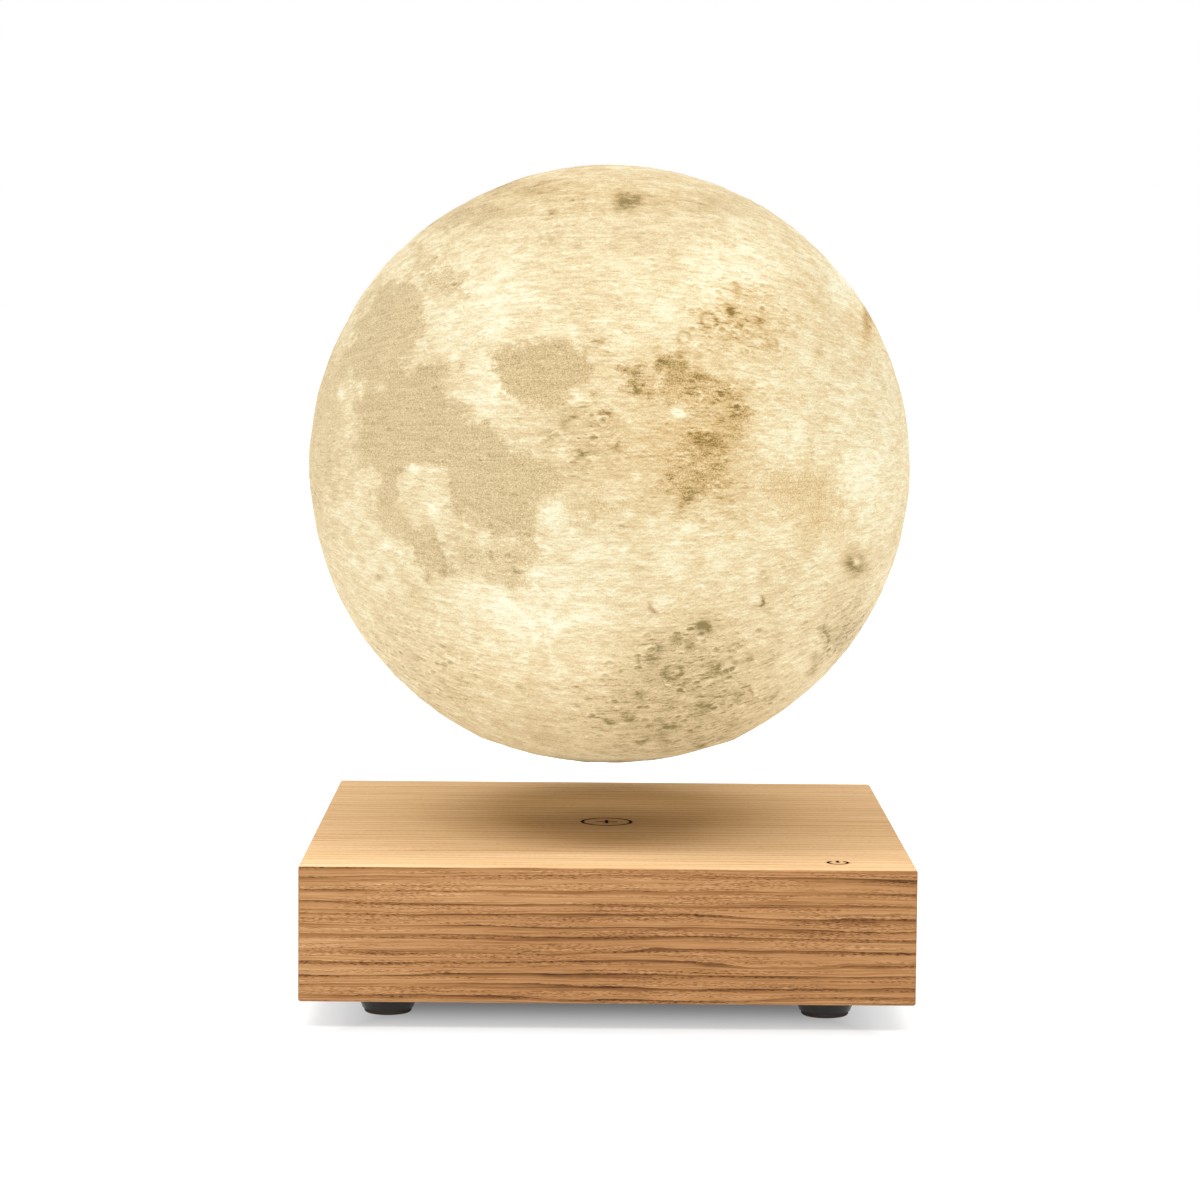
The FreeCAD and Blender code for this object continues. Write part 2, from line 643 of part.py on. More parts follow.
def coil_pin_spots():
    """Two solder pins under each bobbin, on the line from the middle through the coil."""
    return [polar(f"(coil_reach + {side} * coil_pin_reach)", angle)
            for angle in SIDES.values() for side in (-1, 1)]


def hall_pin_spots():
    return [(f"{across} * hall_pin_reach", f"{along} * hall_pin_reach") for across, along in CORNERS.values()]


def electromagnets():
    """Four coils round the middle, each a bobbin, its winding and a steel core."""
    low, high = "frame_top", "coil_top"
    cores = []
    for side, angle in SIDES.items():
        x, y = polar("coil_reach", angle - 90)
        bobbin = turned(f"coil_bobbin_{side}", [
            ("core_radius + fit_gap", low), ("flange_radius", low),
            ("flange_radius", f"{low} + flange_thickness"),
            ("tube_radius", f"{low} + flange_thickness"), ("tube_radius", f"{high} - flange_thickness"),
            ("flange_radius", f"{high} - flange_thickness"), ("flange_radius", high),
            ("core_radius + fit_gap", high)], x, y)
        subpart(bobbin, bobbin.Name)
        winding = ring(f"coil_winding_{side}", "winding_radius", "tube_radius + fit_gap",
                       f"{low} + flange_thickness", f"{high} - flange_thickness", x, y)
        subpart(winding, winding.Name)
        cores.append(rod(f"coil_core_{side}", "core_radius", "ring_magnet_height", x, y, low))
    subpart(group("coil_core_set", cores), "coil_cores")
    pins = [rod(f"coil_pin_{number}", "coil_pin_radius", f"{low} - pcb_top", x, y, "pcb_top")
            for number, (x, y) in enumerate(coil_pin_spots(), start=1)]
    subpart(group("coil_pin_set", pins), "coil_pins")


def hall_sensors():
    board = block("hall_board", "hall_board_width", "hall_board_width", "pcb_small_thickness",
                  z="hall_board_bottom")
    subpart(board, "hall_sensor_board")
    spots = [polar("hall_width", angle) for angle in (90, 210, 330)]
    chip_group("hall_sensors", spots, "hall_width", "hall_width", "hall_height", "hall_board_top")
    pins = [rod(f"hall_pin_{number}", "hall_pin_radius", "hall_board_bottom - pcb_top", x, y, "pcb_top")
            for number, (x, y) in enumerate(hall_pin_spots(), start=1)]
    subpart(group("hall_pin_set", pins), "hall_sensor_pins")


def transmitter():
    coil = ring("transmitter_coil", "sender_radius", "sender_radius - sender_width", "coil_top",
                "coil_top + sender_height")
    subpart(coil, coil.Name)
    level, drop = "coil_top + sender_height / 2", "-(frame_radius + sender_lead_drop)"
    leads = []
    for side, across in (("left", -1), ("right", 1)):
        x = f"{across} * sender_lead_spread / 2"
        edge = "-sqrt(sender_radius ^ 2 - (sender_lead_spread / 2 + sender_lead_radius) ^ 2) - fit_gap"
        leads.append(lead(f"transmitter_lead_{side}", "sender_lead_radius",
                          [(x, edge, level), (x, drop, level), (x, drop, "pcb_top")]))
    subpart(group("transmitter_lead_pair", leads), "transmitter_leads")


def levitation_module():
    module_frame()
    magnet = ring("ring_magnet", "ring_magnet_radius", "ring_magnet_bore", "frame_top", "coil_top")
    subpart(magnet, magnet.Name)
    electromagnets()
    hall_sensors()
    transmitter()
    screws("module_screws", corner_spots("ear_place").values(),
           ("module_screw_radius", "module_head_radius", "module_head_height"),
           "pcb_underside - module_screw_grip", "frame_top")


def touch_switch():
    """A board on the right front block, and a spring that reaches the foil under the wood."""
    board = block("touch_sheet", "touch_board_width", "touch_board_depth", "pcb_small_thickness",
                  "touch_x", "touch_y + spring_wire", "block_top")
    subpart(board, "touch_board")
    chip = block("touch_chip_block", "touch_chip_width", "touch_chip_width", "chip_height",
                 "touch_x + spring_radius + touch_chip_width", "touch_y", "touch_board_top")
    subpart(chip, "touch_chip")
    foil = disc("touch_electrode", "foil_radius", "foil_underside", "panel_underside", "touch_x", "touch_y")
    subpart(foil, foil.Name)
    helix = doc.addObject("Part::Helix", "touch_spring_line")
    bind(helix, Radius="spring_radius", Height="foil_underside - touch_board_top - 2 * spring_wire",
         Pitch="(foil_underside - touch_board_top - 2 * spring_wire) / spring_turns")
    place(helix, "touch_x", "touch_y", "touch_board_top + spring_wire")
    section = turn(bind(doc.addObject("Part::Circle", "touch_spring_section"), Radius="spring_wire"),
                   Vector(1, 0, 0), 90)
    place(section, "touch_x + spring_radius", "touch_y", "touch_board_top + spring_wire")
    spring = doc.addObject("Part::Sweep", "touch_spring_wire")
    spring.Sections = [section]
    spring.Spine = (helix, [])
    spring.Solid = True
    spring.Frenet = True
    subpart(spring, "touch_spring")
    start_x = "touch_x - touch_board_width / 2 + 2 * touch_lead_radius"
    start_y = "touch_y + touch_board_depth / 3"
    end_x, end_y = "pcb_width / 2 - touch_lead_clearance", "pcb_front + touch_lead_clearance"
    level = "touch_board_top + 2 * lead_bend"
    wire = lead("touch_lead_wire", "touch_lead_radius", [
        (start_x, start_y, "touch_board_top"), (start_x, start_y, level), (end_x, end_y, level),
        (end_x, end_y, "pcb_top")])
    subpart(wire, "touch_lead")


# The moon

def moon_shell():
    """A thin ball, open at the bottom, with a notched lip that the cap's lugs lock over."""
    outside = ball("moon_outside", "moon_radius", "moon_centre")
    inside = ball("moon_inside", "moon_radius - shell_wall", "moon_centre")
    opening = rod("moon_opening", "cap_edge_radius + cap_gap", "lip_bottom - moon_bottom + cap_floor",
                  z="moon_bottom - cap_floor")
    open_ball = cut("moon_open_ball", outside, inside, opening)
    lip = ring("moon_lip_ring", "cap_edge_radius + 2 * lug_reach", "lip_bore", "lip_bottom", "lip_top")
    lipped = fuse("moon_lipped", open_ball, common("moon_lip", lip, outside))
    height, level = "lip_thickness + 2 * lip_gap", "lip_bottom - lip_gap"
    tools = [rod("lip_hole", "lip_bore", height, z=level)]
    for number in range(3):
        tools.append(sector(f"lip_notch_{number}", "lug_radius + lip_gap", "lug_angle + notch_play",
                            f"{120 * number} + lug_turn - notch_play / 2", height, level))
    subpart(cut("moon_notched", lipped, *tools), "moon_shell")


def moon_cap():
    """The flatter bottom of the moon: spigot with lugs, cup for the magnet, bosses for the plate."""
    low = "moon_bottom - rim_thickness"
    blank = turned("cap_blank", [
        ("0", low), ("cap_edge_radius", low), ("cap_edge_radius", "rim_top"), ("spigot_radius", "rim_top"),
        ("spigot_radius", "lamp_plate_top"), ("spigot_bore", "lamp_plate_top"), ("spigot_bore", "rim_top"),
        ("cup_radius", "rim_top"), ("cup_radius", "lamp_plate_bottom"), ("cup_bore", "lamp_plate_bottom"),
        ("cup_bore", "cap_floor_top"), ("0", "cap_floor_top")])
    curved = common("cap_curved", blank, ball("cap_ball", "cap_curve", "moon_bottom + cap_curve"))
    core = rod("lug_core", "spigot_bore", "lug_height", z="lug_bottom")
    solids, pilots = [curved], []
    for number, angle in enumerate((0, 120, 240)):
        wedge = sector(f"lug_wedge_{number}", "lug_radius", "lug_angle", str(angle),
                       "lug_height", "lug_bottom")
        solids.append(cut(f"lug_{number}", wedge, core))
        x, y = polar("boss_reach", angle)
        solids.append(rod(f"boss_{number}", "boss_radius", "lamp_plate_bottom - rim_top", x, y, "rim_top"))
        pilots.append(rod(f"boss_pilot_{number}", "lamp_screw_radius + fit_gap", "lamp_screw_grip + 1",
                          x, y, "lamp_plate_bottom - lamp_screw_grip"))
    subpart(cut("cap_drilled", fuse("cap_solid", *solids), *pilots), "moon_cap")


def round_board(name, bottom, top):
    """A round plate with holes for the three lamp screws."""
    plate = disc(f"{name}_disc", "lamp_plate_radius", bottom, top)
    holes = [rod(f"{name}_hole_{angle}", "lamp_screw_radius + screw_clearance", f"2 * ({top} - {bottom})",
                 *polar("boss_reach", angle), bottom + " - fit_gap") for angle in (0, 120, 240)]
    subpart(cut(f"{name}_drilled", plate, *holes), name)


def moon_inside():
    magnet = disc("float_magnet", "magnet_radius", "magnet_bottom", "magnet_bottom + magnet_height")
    subpart(magnet, magnet.Name)
    coil = ring("receiver_coil", "receiver_radius", "receiver_bore", "rim_top",
                "lamp_plate_bottom - receiver_gap")
    subpart(coil, coil.Name)
    round_board("lamp_plate", "lamp_plate_bottom", "lamp_plate_top")
    round_board("led_board", "lamp_plate_top", "led_board_top")
    chip_group("leds", [polar("led_reach", angle) for angle in range(0, 360, 45)],
               "led_width", "led_width", "led_height", "led_board_top")
    chip_group("led_driver_chips", [polar("driver_reach", angle) for angle in (0, 180)],
               "chip_width", "chip_width", "chip_height", "led_board_top")
    screws("lamp_screws", [polar("boss_reach", angle) for angle in (0, 120, 240)],
           ("lamp_screw_radius", "lamp_head_radius", "lamp_head_height"),
           "lamp_plate_bottom - lamp_screw_grip", "led_board_top")


def check_and_write():
    doc.recompute()
    for thing in doc.Objects:
        if {"Invalid", "Error"} & set(thing.State):
            raise RuntimeError(f"{thing.Name} failed: {thing.State}")
    os.makedirs("parts", exist_ok=True)
    for piece in subparts:
        if piece.Shape.isNull() or not piece.Shape.isValid():
            raise RuntimeError(f"{piece.Label} has no valid shape")
    for piece in subparts:
        piece.Shape.exportStep(f"parts/{piece.Label}.step")
        print(f"{piece.Label}: {len(piece.Shape.Solids)} solid(s), {piece.Shape.Volume:.1f} mm3")


whole_box = eased_box()
box_sides(whole_box)
top_panel(whole_box)
corner_blocks()
bottom_plate()
feet()
control_board()
board_parts()
power_jack()
levitation_module()
touch_switch()
moon_shell()
moon_cap()
moon_inside()
check_and_write()
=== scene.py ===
# A moon lamp: a printed moon, lit from inside, floats over a square oak box.
import json
import math
import random

import bpy
import numpy as np
from mathutils import Matrix, Vector, noise


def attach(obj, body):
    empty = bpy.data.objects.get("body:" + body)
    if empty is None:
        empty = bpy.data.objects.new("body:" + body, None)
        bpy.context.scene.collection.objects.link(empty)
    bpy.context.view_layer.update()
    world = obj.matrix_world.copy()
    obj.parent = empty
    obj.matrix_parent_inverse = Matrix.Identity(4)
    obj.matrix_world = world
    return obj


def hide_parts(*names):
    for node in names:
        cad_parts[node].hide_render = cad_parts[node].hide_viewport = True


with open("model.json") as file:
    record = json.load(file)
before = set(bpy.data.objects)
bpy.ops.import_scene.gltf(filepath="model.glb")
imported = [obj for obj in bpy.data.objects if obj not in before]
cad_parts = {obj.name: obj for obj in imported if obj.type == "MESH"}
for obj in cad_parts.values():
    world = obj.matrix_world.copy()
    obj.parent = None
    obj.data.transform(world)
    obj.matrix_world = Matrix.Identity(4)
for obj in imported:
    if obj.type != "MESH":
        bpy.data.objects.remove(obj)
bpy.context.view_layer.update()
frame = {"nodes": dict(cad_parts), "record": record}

MM = 0.001

# The photograph's camera, in mm and degrees, for an image of 1200 by 1200.
PHOTO_WIDTH = 1200
SENSOR_WIDTH = 36
LENS = 107.47
CAMERA_PLACE = (-5.6, -895.1, 173.3)
CAMERA_YAW = 0.223
CAMERA_PITCH = 5.055
CAMERA_ROLL = 0.4676

# The lamp's own sizes, in mm.
MOON_RADIUS = 75.0
MOON_CENTRE = 127.7
MOON_BOTTOM = 53.5
SHELL_WALL = 2.0
CAP_RADIUS = 33.0
CAP_EDGE = 60.35
CAP_CURVE = 82.9
CAP_GAP = 0.15
RIM_TOP = 60.9
LIP_BOTTOM = 61.2
LIP_TOP = 63.2
LIP_BORE = 31.5
SPIGOT_RADIUS = 31.2
SPIGOT_BORE = 29.2
CUP_RADIUS = 22.0
CUP_BORE = 20.3
CAP_FLOOR_TOP = 57.9
LAMP_PLATE_BOTTOM = 66.5
LAMP_PLATE_TOP = 68.0
BOX_TOP = 38.0
MARK_DEPTH = 0.3
RING_MARK_RADIUS = 6.35
TOUCH_MARK = (54.1, -61.5)
TOUCH_MARK_RADIUS = 2.55
TOUCH_MARK_GAP = 70
TOUCH_BAR = 2.6
CROSS_LENGTH = 5.0
MARK_LINE = 0.45

# How strongly the white room lights the lamp.
ROOM_LIGHT = 0.19

# How white the paper is where it is shaded: under the box, and at the box's edge. Less white near the box
# paints a soft shadow there, on top of the one the lights cast.
WHITE_UNDER_BOX = 0.15
WHITE_AT_EDGE = 0.62
# Where that shade lightens, in metres from the lamp's axis: under the box, and beside it.
SHADE_UNDER_BOX = (0.040, 0.078)
SHADE_BESIDE_BOX = (0.074, 0.110)
# It is narrower at the sides: distances sideways are stretched, then shortened by some metres.
SIDE_STRETCH = 1.8
SIDE_SHORTENING = -0.036
# How much of the light the paper gives back: to the lamp, and to the eye.
PAPER_LIGHTING = 0.78
PAPER_SEEN = 0.22


# ------------ small helpers

def deselect_all():
    bpy.ops.object.select_all(action="DESELECT")


def take(thing):
    """Makes one object the only selected and the active one."""
    deselect_all()
    thing.select_set(True)
    bpy.context.view_layer.objects.active = thing


def shape_mode(on):
    """Switches the active object's mesh between being edited and not."""
    bpy.ops.object.mode_set(mode="EDIT" if on else "OBJECT")


def linear(hex_code, alpha=1.0):
    """An sRGB hex value as the linear colour that a socket holds."""
    parts = [int(hex_code[i:i + 2], 16) / 255 for i in (1, 3, 5)]
    return tuple(c / 12.92 if c <= 0.04045 else ((c + 0.055) / 1.055) ** 2.4 for c in parts) + (alpha,)


def feed(node, inputs):
    """Gives sockets of a node plain values, or links from other sockets or from a node's first output."""
    for socket, source in inputs.items():
        if isinstance(source, bpy.types.Node):
            source = source.outputs[0]
        if isinstance(source, bpy.types.NodeSocket):
            node.id_data.links.new(source, node.inputs[socket])
        else:
            node.inputs[socket].default_value = source


def add(tree, kind, inputs=(), stops=(), **settings):
    """Adds a node with its settings; a kind may name its operation, as in Math:ADD.

    Inputs come in order, or by name or number in a dict. Stops fill a ramp.
    """
    kind, _, operation = kind.partition(":")
    made = tree.nodes.new("ShaderNode" + kind)
    if operation:
        made.operation = operation
    for name, value in settings.items():
        setattr(made, name, value)
    feed(made, inputs if isinstance(inputs, dict) else dict(enumerate(inputs)))
    if stops:
        steps = made.color_ramp.elements
        while len(steps) < len(stops):
            steps.new(1.0)
        for step, (place, hex_code) in zip(steps, stops):
            step.position, step.color = place, linear(hex_code)
    return made


def new_material(name, **surface):
    """A material with one Principled surface whose plain values are set on its own sockets."""
    made = bpy.data.materials.new(name)
    made.use_nodes = True
    tree = made.node_tree
    tree.nodes.clear()
    values = {socket.replace("_", " "): value for socket, value in surface.items()}
    shader = add(tree, "BsdfPrincipled", values)
    add(tree, "OutputMaterial", (shader,))
    return made, tree, shader


def millimetres(tree, scale=(1, 1, 1), turn=(0, 0, 0), place=(0, 0, 0)):
    """Object coordinates in mm, turned, stretched and moved, for patterns with real sizes."""
    mapped = add(tree, "Mapping", {
        "Vector": add(tree, "TexCoord").outputs["Object"],
        "Rotation": [math.radians(angle) for angle in turn],
        "Scale": (1 / MM, 1 / MM, 1 / MM)})
    return add(tree, "VectorMath:MULTIPLY_ADD", (mapped, scale, place))


def looking_rays(tree):
    """1 for rays that look at something, 0 for light on its way."""
    rays = add(tree, "LightPath").outputs
    seen = add(tree, "Math:MAXIMUM", (rays["Is Camera Ray"], rays["Is Glossy Ray"]))
    return add(tree, "Math:MAXIMUM", (seen, rays["Is Transmission Ray"]))


# ------------ camera, floor and light

def camera_axes():
    """The camera's right, up and forward directions."""
    yaw, pitch, roll = (math.radians(a) for a in (CAMERA_YAW, CAMERA_PITCH, CAMERA_ROLL))
    forward = Vector((math.sin(yaw) * math.cos(pitch), math.cos(yaw) * math.cos(pitch), -math.sin(pitch)))
    level = Vector((math.cos(yaw), -math.sin(yaw), 0))
    upright = level.cross(forward)
    right = level * math.cos(roll) + upright * math.sin(roll)
    up = upright * math.cos(roll) - level * math.sin(roll)
    return right, up, forward


def make_camera():
    lens = bpy.data.cameras.new("photo_camera")
    lens.lens, lens.sensor_width = LENS, SENSOR_WIDTH
    lens.clip_start, lens.clip_end = 0.05, 50
    camera = bpy.data.objects.new("photo_camera", lens)
    bpy.context.scene.collection.objects.link(camera)
    right, up, forward = camera_axes()
    turn = Matrix((right, up, -forward)).transposed()
    camera.matrix_world = Matrix.Translation(Vector(CAMERA_PLACE) * MM) @ turn.to_4x4()
    bpy.context.scene.camera = camera


def make_floor():
    """White studio paper: white to the camera, and it keeps the lamp's soft shadow, with a painted shadow
    under and around the box as well.
    """
    deselect_all()
    bpy.ops.mesh.primitive_grid_add(x_subdivisions=8, y_subdivisions=8, size=40, location=(0, 0, 0))
    floor = bpy.context.object
    floor.name = floor.data.name = "studio_floor"
    paper, tree, shader = new_material("studio_paper_matt", Roughness=0.9)
    place = add(tree, "SeparateXYZ", (add(tree, "TexCoord").outputs["Object"],)).outputs
    # the painted shadow ends sooner at the box's sides than at its front
    sideways = add(tree, "Math:ABSOLUTE", (place[0],))
    sideways = add(tree, "Math:MULTIPLY_ADD", (sideways, SIDE_STRETCH, SIDE_SHORTENING))
    away = add(tree, "Math:MAXIMUM", (sideways, add(tree, "Math:ABSOLUTE", (place[1],))))
    under = add(tree, "MapRange", (
        away, *SHADE_UNDER_BOX, WHITE_UNDER_BOX, WHITE_AT_EDGE), interpolation_type="SMOOTHSTEP")
    beside = add(tree, "MapRange", (away, *SHADE_BESIDE_BOX, 0, 1 - WHITE_AT_EDGE))
    # less white near the box: a painted shadow
    white = add(tree, "Math:ADD", (under, beside))
    seen = looking_rays(tree)
    feed(shader, {
        "Base Color": add(tree, "MapRange", {"Value": seen, "To Min": PAPER_LIGHTING, "To Max": PAPER_SEEN}),
        "Emission Color": (1, 1, 1, 1),
        "Emission Strength": add(tree, "Math:MULTIPLY", (seen, white))})
    floor.data.materials.append(paper)


def make_world():
    world = bpy.data.worlds.new("studio_world")
    bpy.context.scene.world = world
    world.use_nodes = True
    tree = world.node_tree
    tree.nodes.clear()
    strength = add(tree, "MapRange", {"Value": looking_rays(tree), "To Min": ROOM_LIGHT})
    sky = add(tree, "Background", {"Color": (1, 1, 1, 1), "Strength": strength})
    add(tree, "OutputWorld", (sky,))


def make_light(name, power, width, place, towards):
    """A square soft box, in watts and metres, that faces a point."""
    box = bpy.data.lights.new(name, "AREA")
    box.energy, box.size, box.shape = power, width, "SQUARE"
    lamp = bpy.data.objects.new(name, box)
    bpy.context.scene.collection.objects.link(lamp)
    lamp.location = place
    lamp.rotation_mode = "QUATERNION"
    lamp.rotation_quaternion = (Vector(towards) - Vector(place)).to_track_quat("-Z", "Y")


def light_the_lamp():
    """A large soft box overhead with one at each side, so that the moon shades the middle of the top."""
    make_world()
    make_light("top_softbox", 10.8, 1.0, (0.0, -0.16, 1.3), (0, 0, 0.06))
    make_light("left_softbox", 6.5, 0.4, (-0.56, -0.26, 1.02), (0, 0, 0.05))
    make_light("right_softbox", 5.2, 0.4, (0.56, -0.26, 1.02), (0, 0, 0.05))
    make_light("front_fill", 3.5, 0.5, (0.0, -1.3, 0.3), (0, 0, 0.05))
    bpy.context.scene.view_settings.view_transform = "Standard"


# ------------ the moon's markings

# Outlines of the darker seas as they are seen from the front, in pixels of the photograph.
# Each has the tone inside it, from 0 for the darkest to 1 for the brightest, and how firm its edge is.
SEAS = {
    "great_left_sea": (0.42, 1.0, [
        (384, 284), (399, 281), (411, 284), (420, 291), (422, 300), (419, 315), (422, 327), (415, 346),
        (405, 358), (402, 369), (414, 371), (424, 363), (440, 360), (456, 365), (447, 372), (443, 384),
        (445, 396), (468, 408), (452, 414), (470, 421), (486, 424), (498, 436), (517, 448), (536, 457),
        (556, 464), (560, 480), (556, 497), (540, 505), (536, 520), (529, 541), (514, 537), (486, 534),
        (474, 528), (455, 516), (446, 494), (452, 479), (449, 464), (430, 466), (404, 468), (400, 480),
        (397, 500), (392, 512), (379, 505), (374, 490), (376, 478), (366, 467), (356, 462), (356, 439),
        (354, 408), (356, 396), (350, 374), (343, 358), (347, 346), (359, 318), (368, 299)]),
    "lower_left_sea": (0.42, 0.8, [
        (404, 528), (420, 524), (436, 528), (444, 540), (452, 556), (453, 574), (440, 580), (424, 572),
        (410, 560), (401, 545)]),
    "left_neck": (0.5, 0.5, [(376, 500), (394, 505), (404, 528), (400, 545), (388, 530), (378, 515)]),
    "dim_low_left": (0.56, 0.5, [
        (462, 536), (500, 540), (530, 545), (536, 570), (508, 584), (478, 580), (456, 560)]),
    "round_sea": (0.4, 1.0, [
        (491, 372), (498, 353), (517, 343), (536, 338), (560, 342), (579, 349), (592, 361), (588, 377),
        (573, 389), (563, 399), (557, 405), (536, 408), (514, 399), (501, 389)]),
    "top_left_patch": (0.5, 0.6, [(418, 262), (442, 266), (470, 280), (462, 293), (436, 294), (420, 284)]),
    "top_left_edge_patch": (0.38, 0.9, [
        (433, 224), (455, 206), (484, 203), (499, 208), (490, 217), (460, 225)]),
    "narrow_left_sea": (0.46, 0.7, [
        (322, 382), (334, 362), (346, 360), (350, 376), (337, 386), (333, 418), (320, 414)]),
    "left_edge_sea": (0.52, 0.5, [(311, 420), (325, 424), (326, 452), (316, 466), (308, 446)]),
    "middle_low_sea": (0.52, 0.5, [(563, 497), (584, 500), (607, 506), (600, 522), (575, 520), (560, 510)]),
    "low_patch": (0.46, 0.5, [(499, 556), (516, 551), (532, 558), (530, 580), (512, 585), (498, 574)]),
    "right_sea_top": (0.22, 0.6, [(659, 362), (672, 358), (688, 362), (690, 372), (676, 375), (662, 371)]),
    "right_sea": (0.37, 0.8, [
        (660, 376), (684, 374), (707, 371), (727, 378), (734, 390), (731, 401), (712, 403), (690, 401),
        (668, 400), (659, 391)]),
    "right_sea_tail": (0.4, 0.5, [(726, 400), (744, 402), (755, 416), (752, 434), (738, 438), (728, 424)]),
    "lower_right_sea": (0.34, 0.8, [
        (684, 436), (699, 432), (722, 435), (722, 455), (716, 472), (690, 472), (682, 455)]),
    "lower_right_tail": (0.4, 0.6, [
        (668, 462), (690, 462), (724, 466), (724, 484), (704, 500), (680, 503), (668, 486)]),
    "crescent_sea": (0.28, 0.5, [(626, 371), (637, 371), (645, 379), (655, 386), (648, 392), (636, 384)]),
    "right_edge_sea": (0.54, 0.25, [
        (768, 474), (792, 468), (815, 472), (834, 480), (842, 500), (838, 525), (818, 527), (796, 512),
        (774, 500)]),
}

# Pale islands inside the seas: the same reading.
ISLANDS = {
    "round_island": [(445, 376), (458, 369), (472, 374), (477, 386), (470, 398), (455, 400), (446, 392)],
}

# Broad soft tones, x, y, half width, half height and change of tone. The thin dark ones along the left, top
# and bottom of the disc's edge are painted shade: they darken the disc's edge as it is seen from the front.
BROAD_TONES_AND_EDGE_SHADE = [
    (478, 303, 62, 46, 0.16), (488, 386, 18, 26, 0.14), (735, 268, 40, 26, 0.18),
    (527, 616, 70, 40, 0.14), (430, 530, 20, 40, 0.08), (852, 480, 22, 34, 0.2),
    (660, 300, 60, 40, 0.08), (610, 560, 90, 50, 0.05), (800, 400, 50, 50, 0.06), (845, 282, 16, 20, 0.2),
    (880, 440, 30, 60, 0.08), (700, 545, 60, 26, 0.04), (600, 195, 130, 40, -0.04), (525, 186, 50, 9, -0.22),
    (690, 203, 60, 10, -0.14), (462, 206, 70, 20, -0.14), (318, 420, 22, 120, -0.2),
    (400, 672, 80, 60, -0.1), (600, 742, 190, 38, -0.13), (700, 680, 66, 62, -0.26),
    (852, 644, 20, 40, -0.28), (820, 497, 34, 34, -0.04), (868, 318, 4, 20, -0.4),
    (440, 280, 32, 20, -0.08), (740, 318, 44, 36, -0.1), (705, 420, 56, 34, -0.15),
    (700, 478, 50, 40, -0.08), (585, 432, 34, 32, -0.14), (600, 480, 60, 40, -0.08),
    (800, 585, 60, 40, -0.04), (620, 700, 60, 40, -0.08), (780, 450, 40, 40, 0.08),
]

# Rugged ground with many small craters, x, y, half width, half height and strength.
RUGGED = [
    (585, 432, 34, 34, 1.0), (735, 318, 52, 44, 0.9), (645, 381, 22, 16, 0.8), (705, 405, 50, 40, 0.9),
    (700, 470, 40, 44, 0.9), (490, 552, 60, 34, 0.6), (425, 492, 24, 26, 0.4), (700, 680, 80, 70, 1.0),
    (610, 705, 60, 50, 0.8), (430, 670, 90, 60, 0.7), (850, 640, 34, 50, 1.0), (600, 345, 18, 16, 0.9),
    (450, 268, 40, 24, 0.7), (560, 222, 50, 30, 0.6), (800, 600, 50, 40, 0.6), (600, 470, 50, 26, 0.5),
]

# Small spots, x, y, radius and change of tone.
SPOTS = [
    (553, 512, 13, 0.28), (856, 564, 9, -0.75), (857, 562, 3.5, 1.0), (659, 606, 10, 0.14),
    (677, 640, 6, -0.45), (690, 647, 5, -0.35), (659, 648, 5, -0.3),
    (358, 385, 5, 0.3), (340, 394, 4, 0.3), (379, 386, 4, 0.25), (573, 334, 5, 0.25), (579, 347, 4, 0.25),
    (576, 397, 6, 0.3), (563, 450, 5, 0.3), (454, 355, 5, 0.2), (355, 456, 5, 0.2), (432, 510, 6, 0.3),
    (537, 573, 5, 0.2), (336, 514, 5, 0.2), (352, 561, 5, 0.2), (414, 470, 5, 0.3), (385, 543, 5, 0.2),
    (484, 537, 6, 0.2), (584, 516, 5, 0.25), (571, 533, 4, 0.2), (466, 630, 6, 0.2), (628, 513, 5, 0.2),
    (624, 551, 5, 0.2), (752, 572, 6, 0.2), (637, 476, 4, 0.2), (759, 481, 5, 0.2), (651, 523, 4, 0.2),
    (688, 530, 4, 0.2), (679, 411, 5, 0.3),
    (700, 374, 6, -0.25), (699, 437, 6, -0.2), (714, 438, 6, -0.2), (689, 497, 10, -0.2),
    (550, 438, 4, -0.25), (594, 394, 4, -0.3), (563, 422, 4, -0.25), (618, 449, 4, -0.25),
    (731, 311, 5, -0.5), (740, 325, 4, -0.3), (759, 322, 4, -0.25), (770, 346, 5, -0.25),
    (736, 290, 4, -0.25), (679, 354, 4, -0.3), (699, 356, 4, -0.25), (819, 351, 5, -0.2),
    (804, 400, 4, -0.2), (623, 201, 9, -0.5), (638, 200, 6, -0.35), (552, 212, 4, -0.3),
    (551, 240, 4, -0.25), (577, 245, 4, -0.25), (442, 574, 5, -0.25), (428, 580, 4, -0.25),
    (378, 577, 3, -0.4), (630, 373, 5, -0.2), (650, 379, 5, -0.2), (641, 388, 5, -0.2),
    (706, 628, 7, -0.45), (651, 659, 6, -0.35), (668, 676, 5, -0.2), (640, 695, 6, -0.25),
    (702, 706, 6, -0.2), (625, 717, 5, -0.2), (739, 695, 6, -0.2), (713, 669, 7, -0.2),
    (734, 648, 5, -0.2), (750, 658, 5, -0.2), (663, 739, 5, -0.2), (668, 751, 5, -0.2),
    (825, 629, 5, -0.3), (817, 660, 5, -0.3), (596, 344, 4, -0.2), (603, 340, 3, -0.2),
]

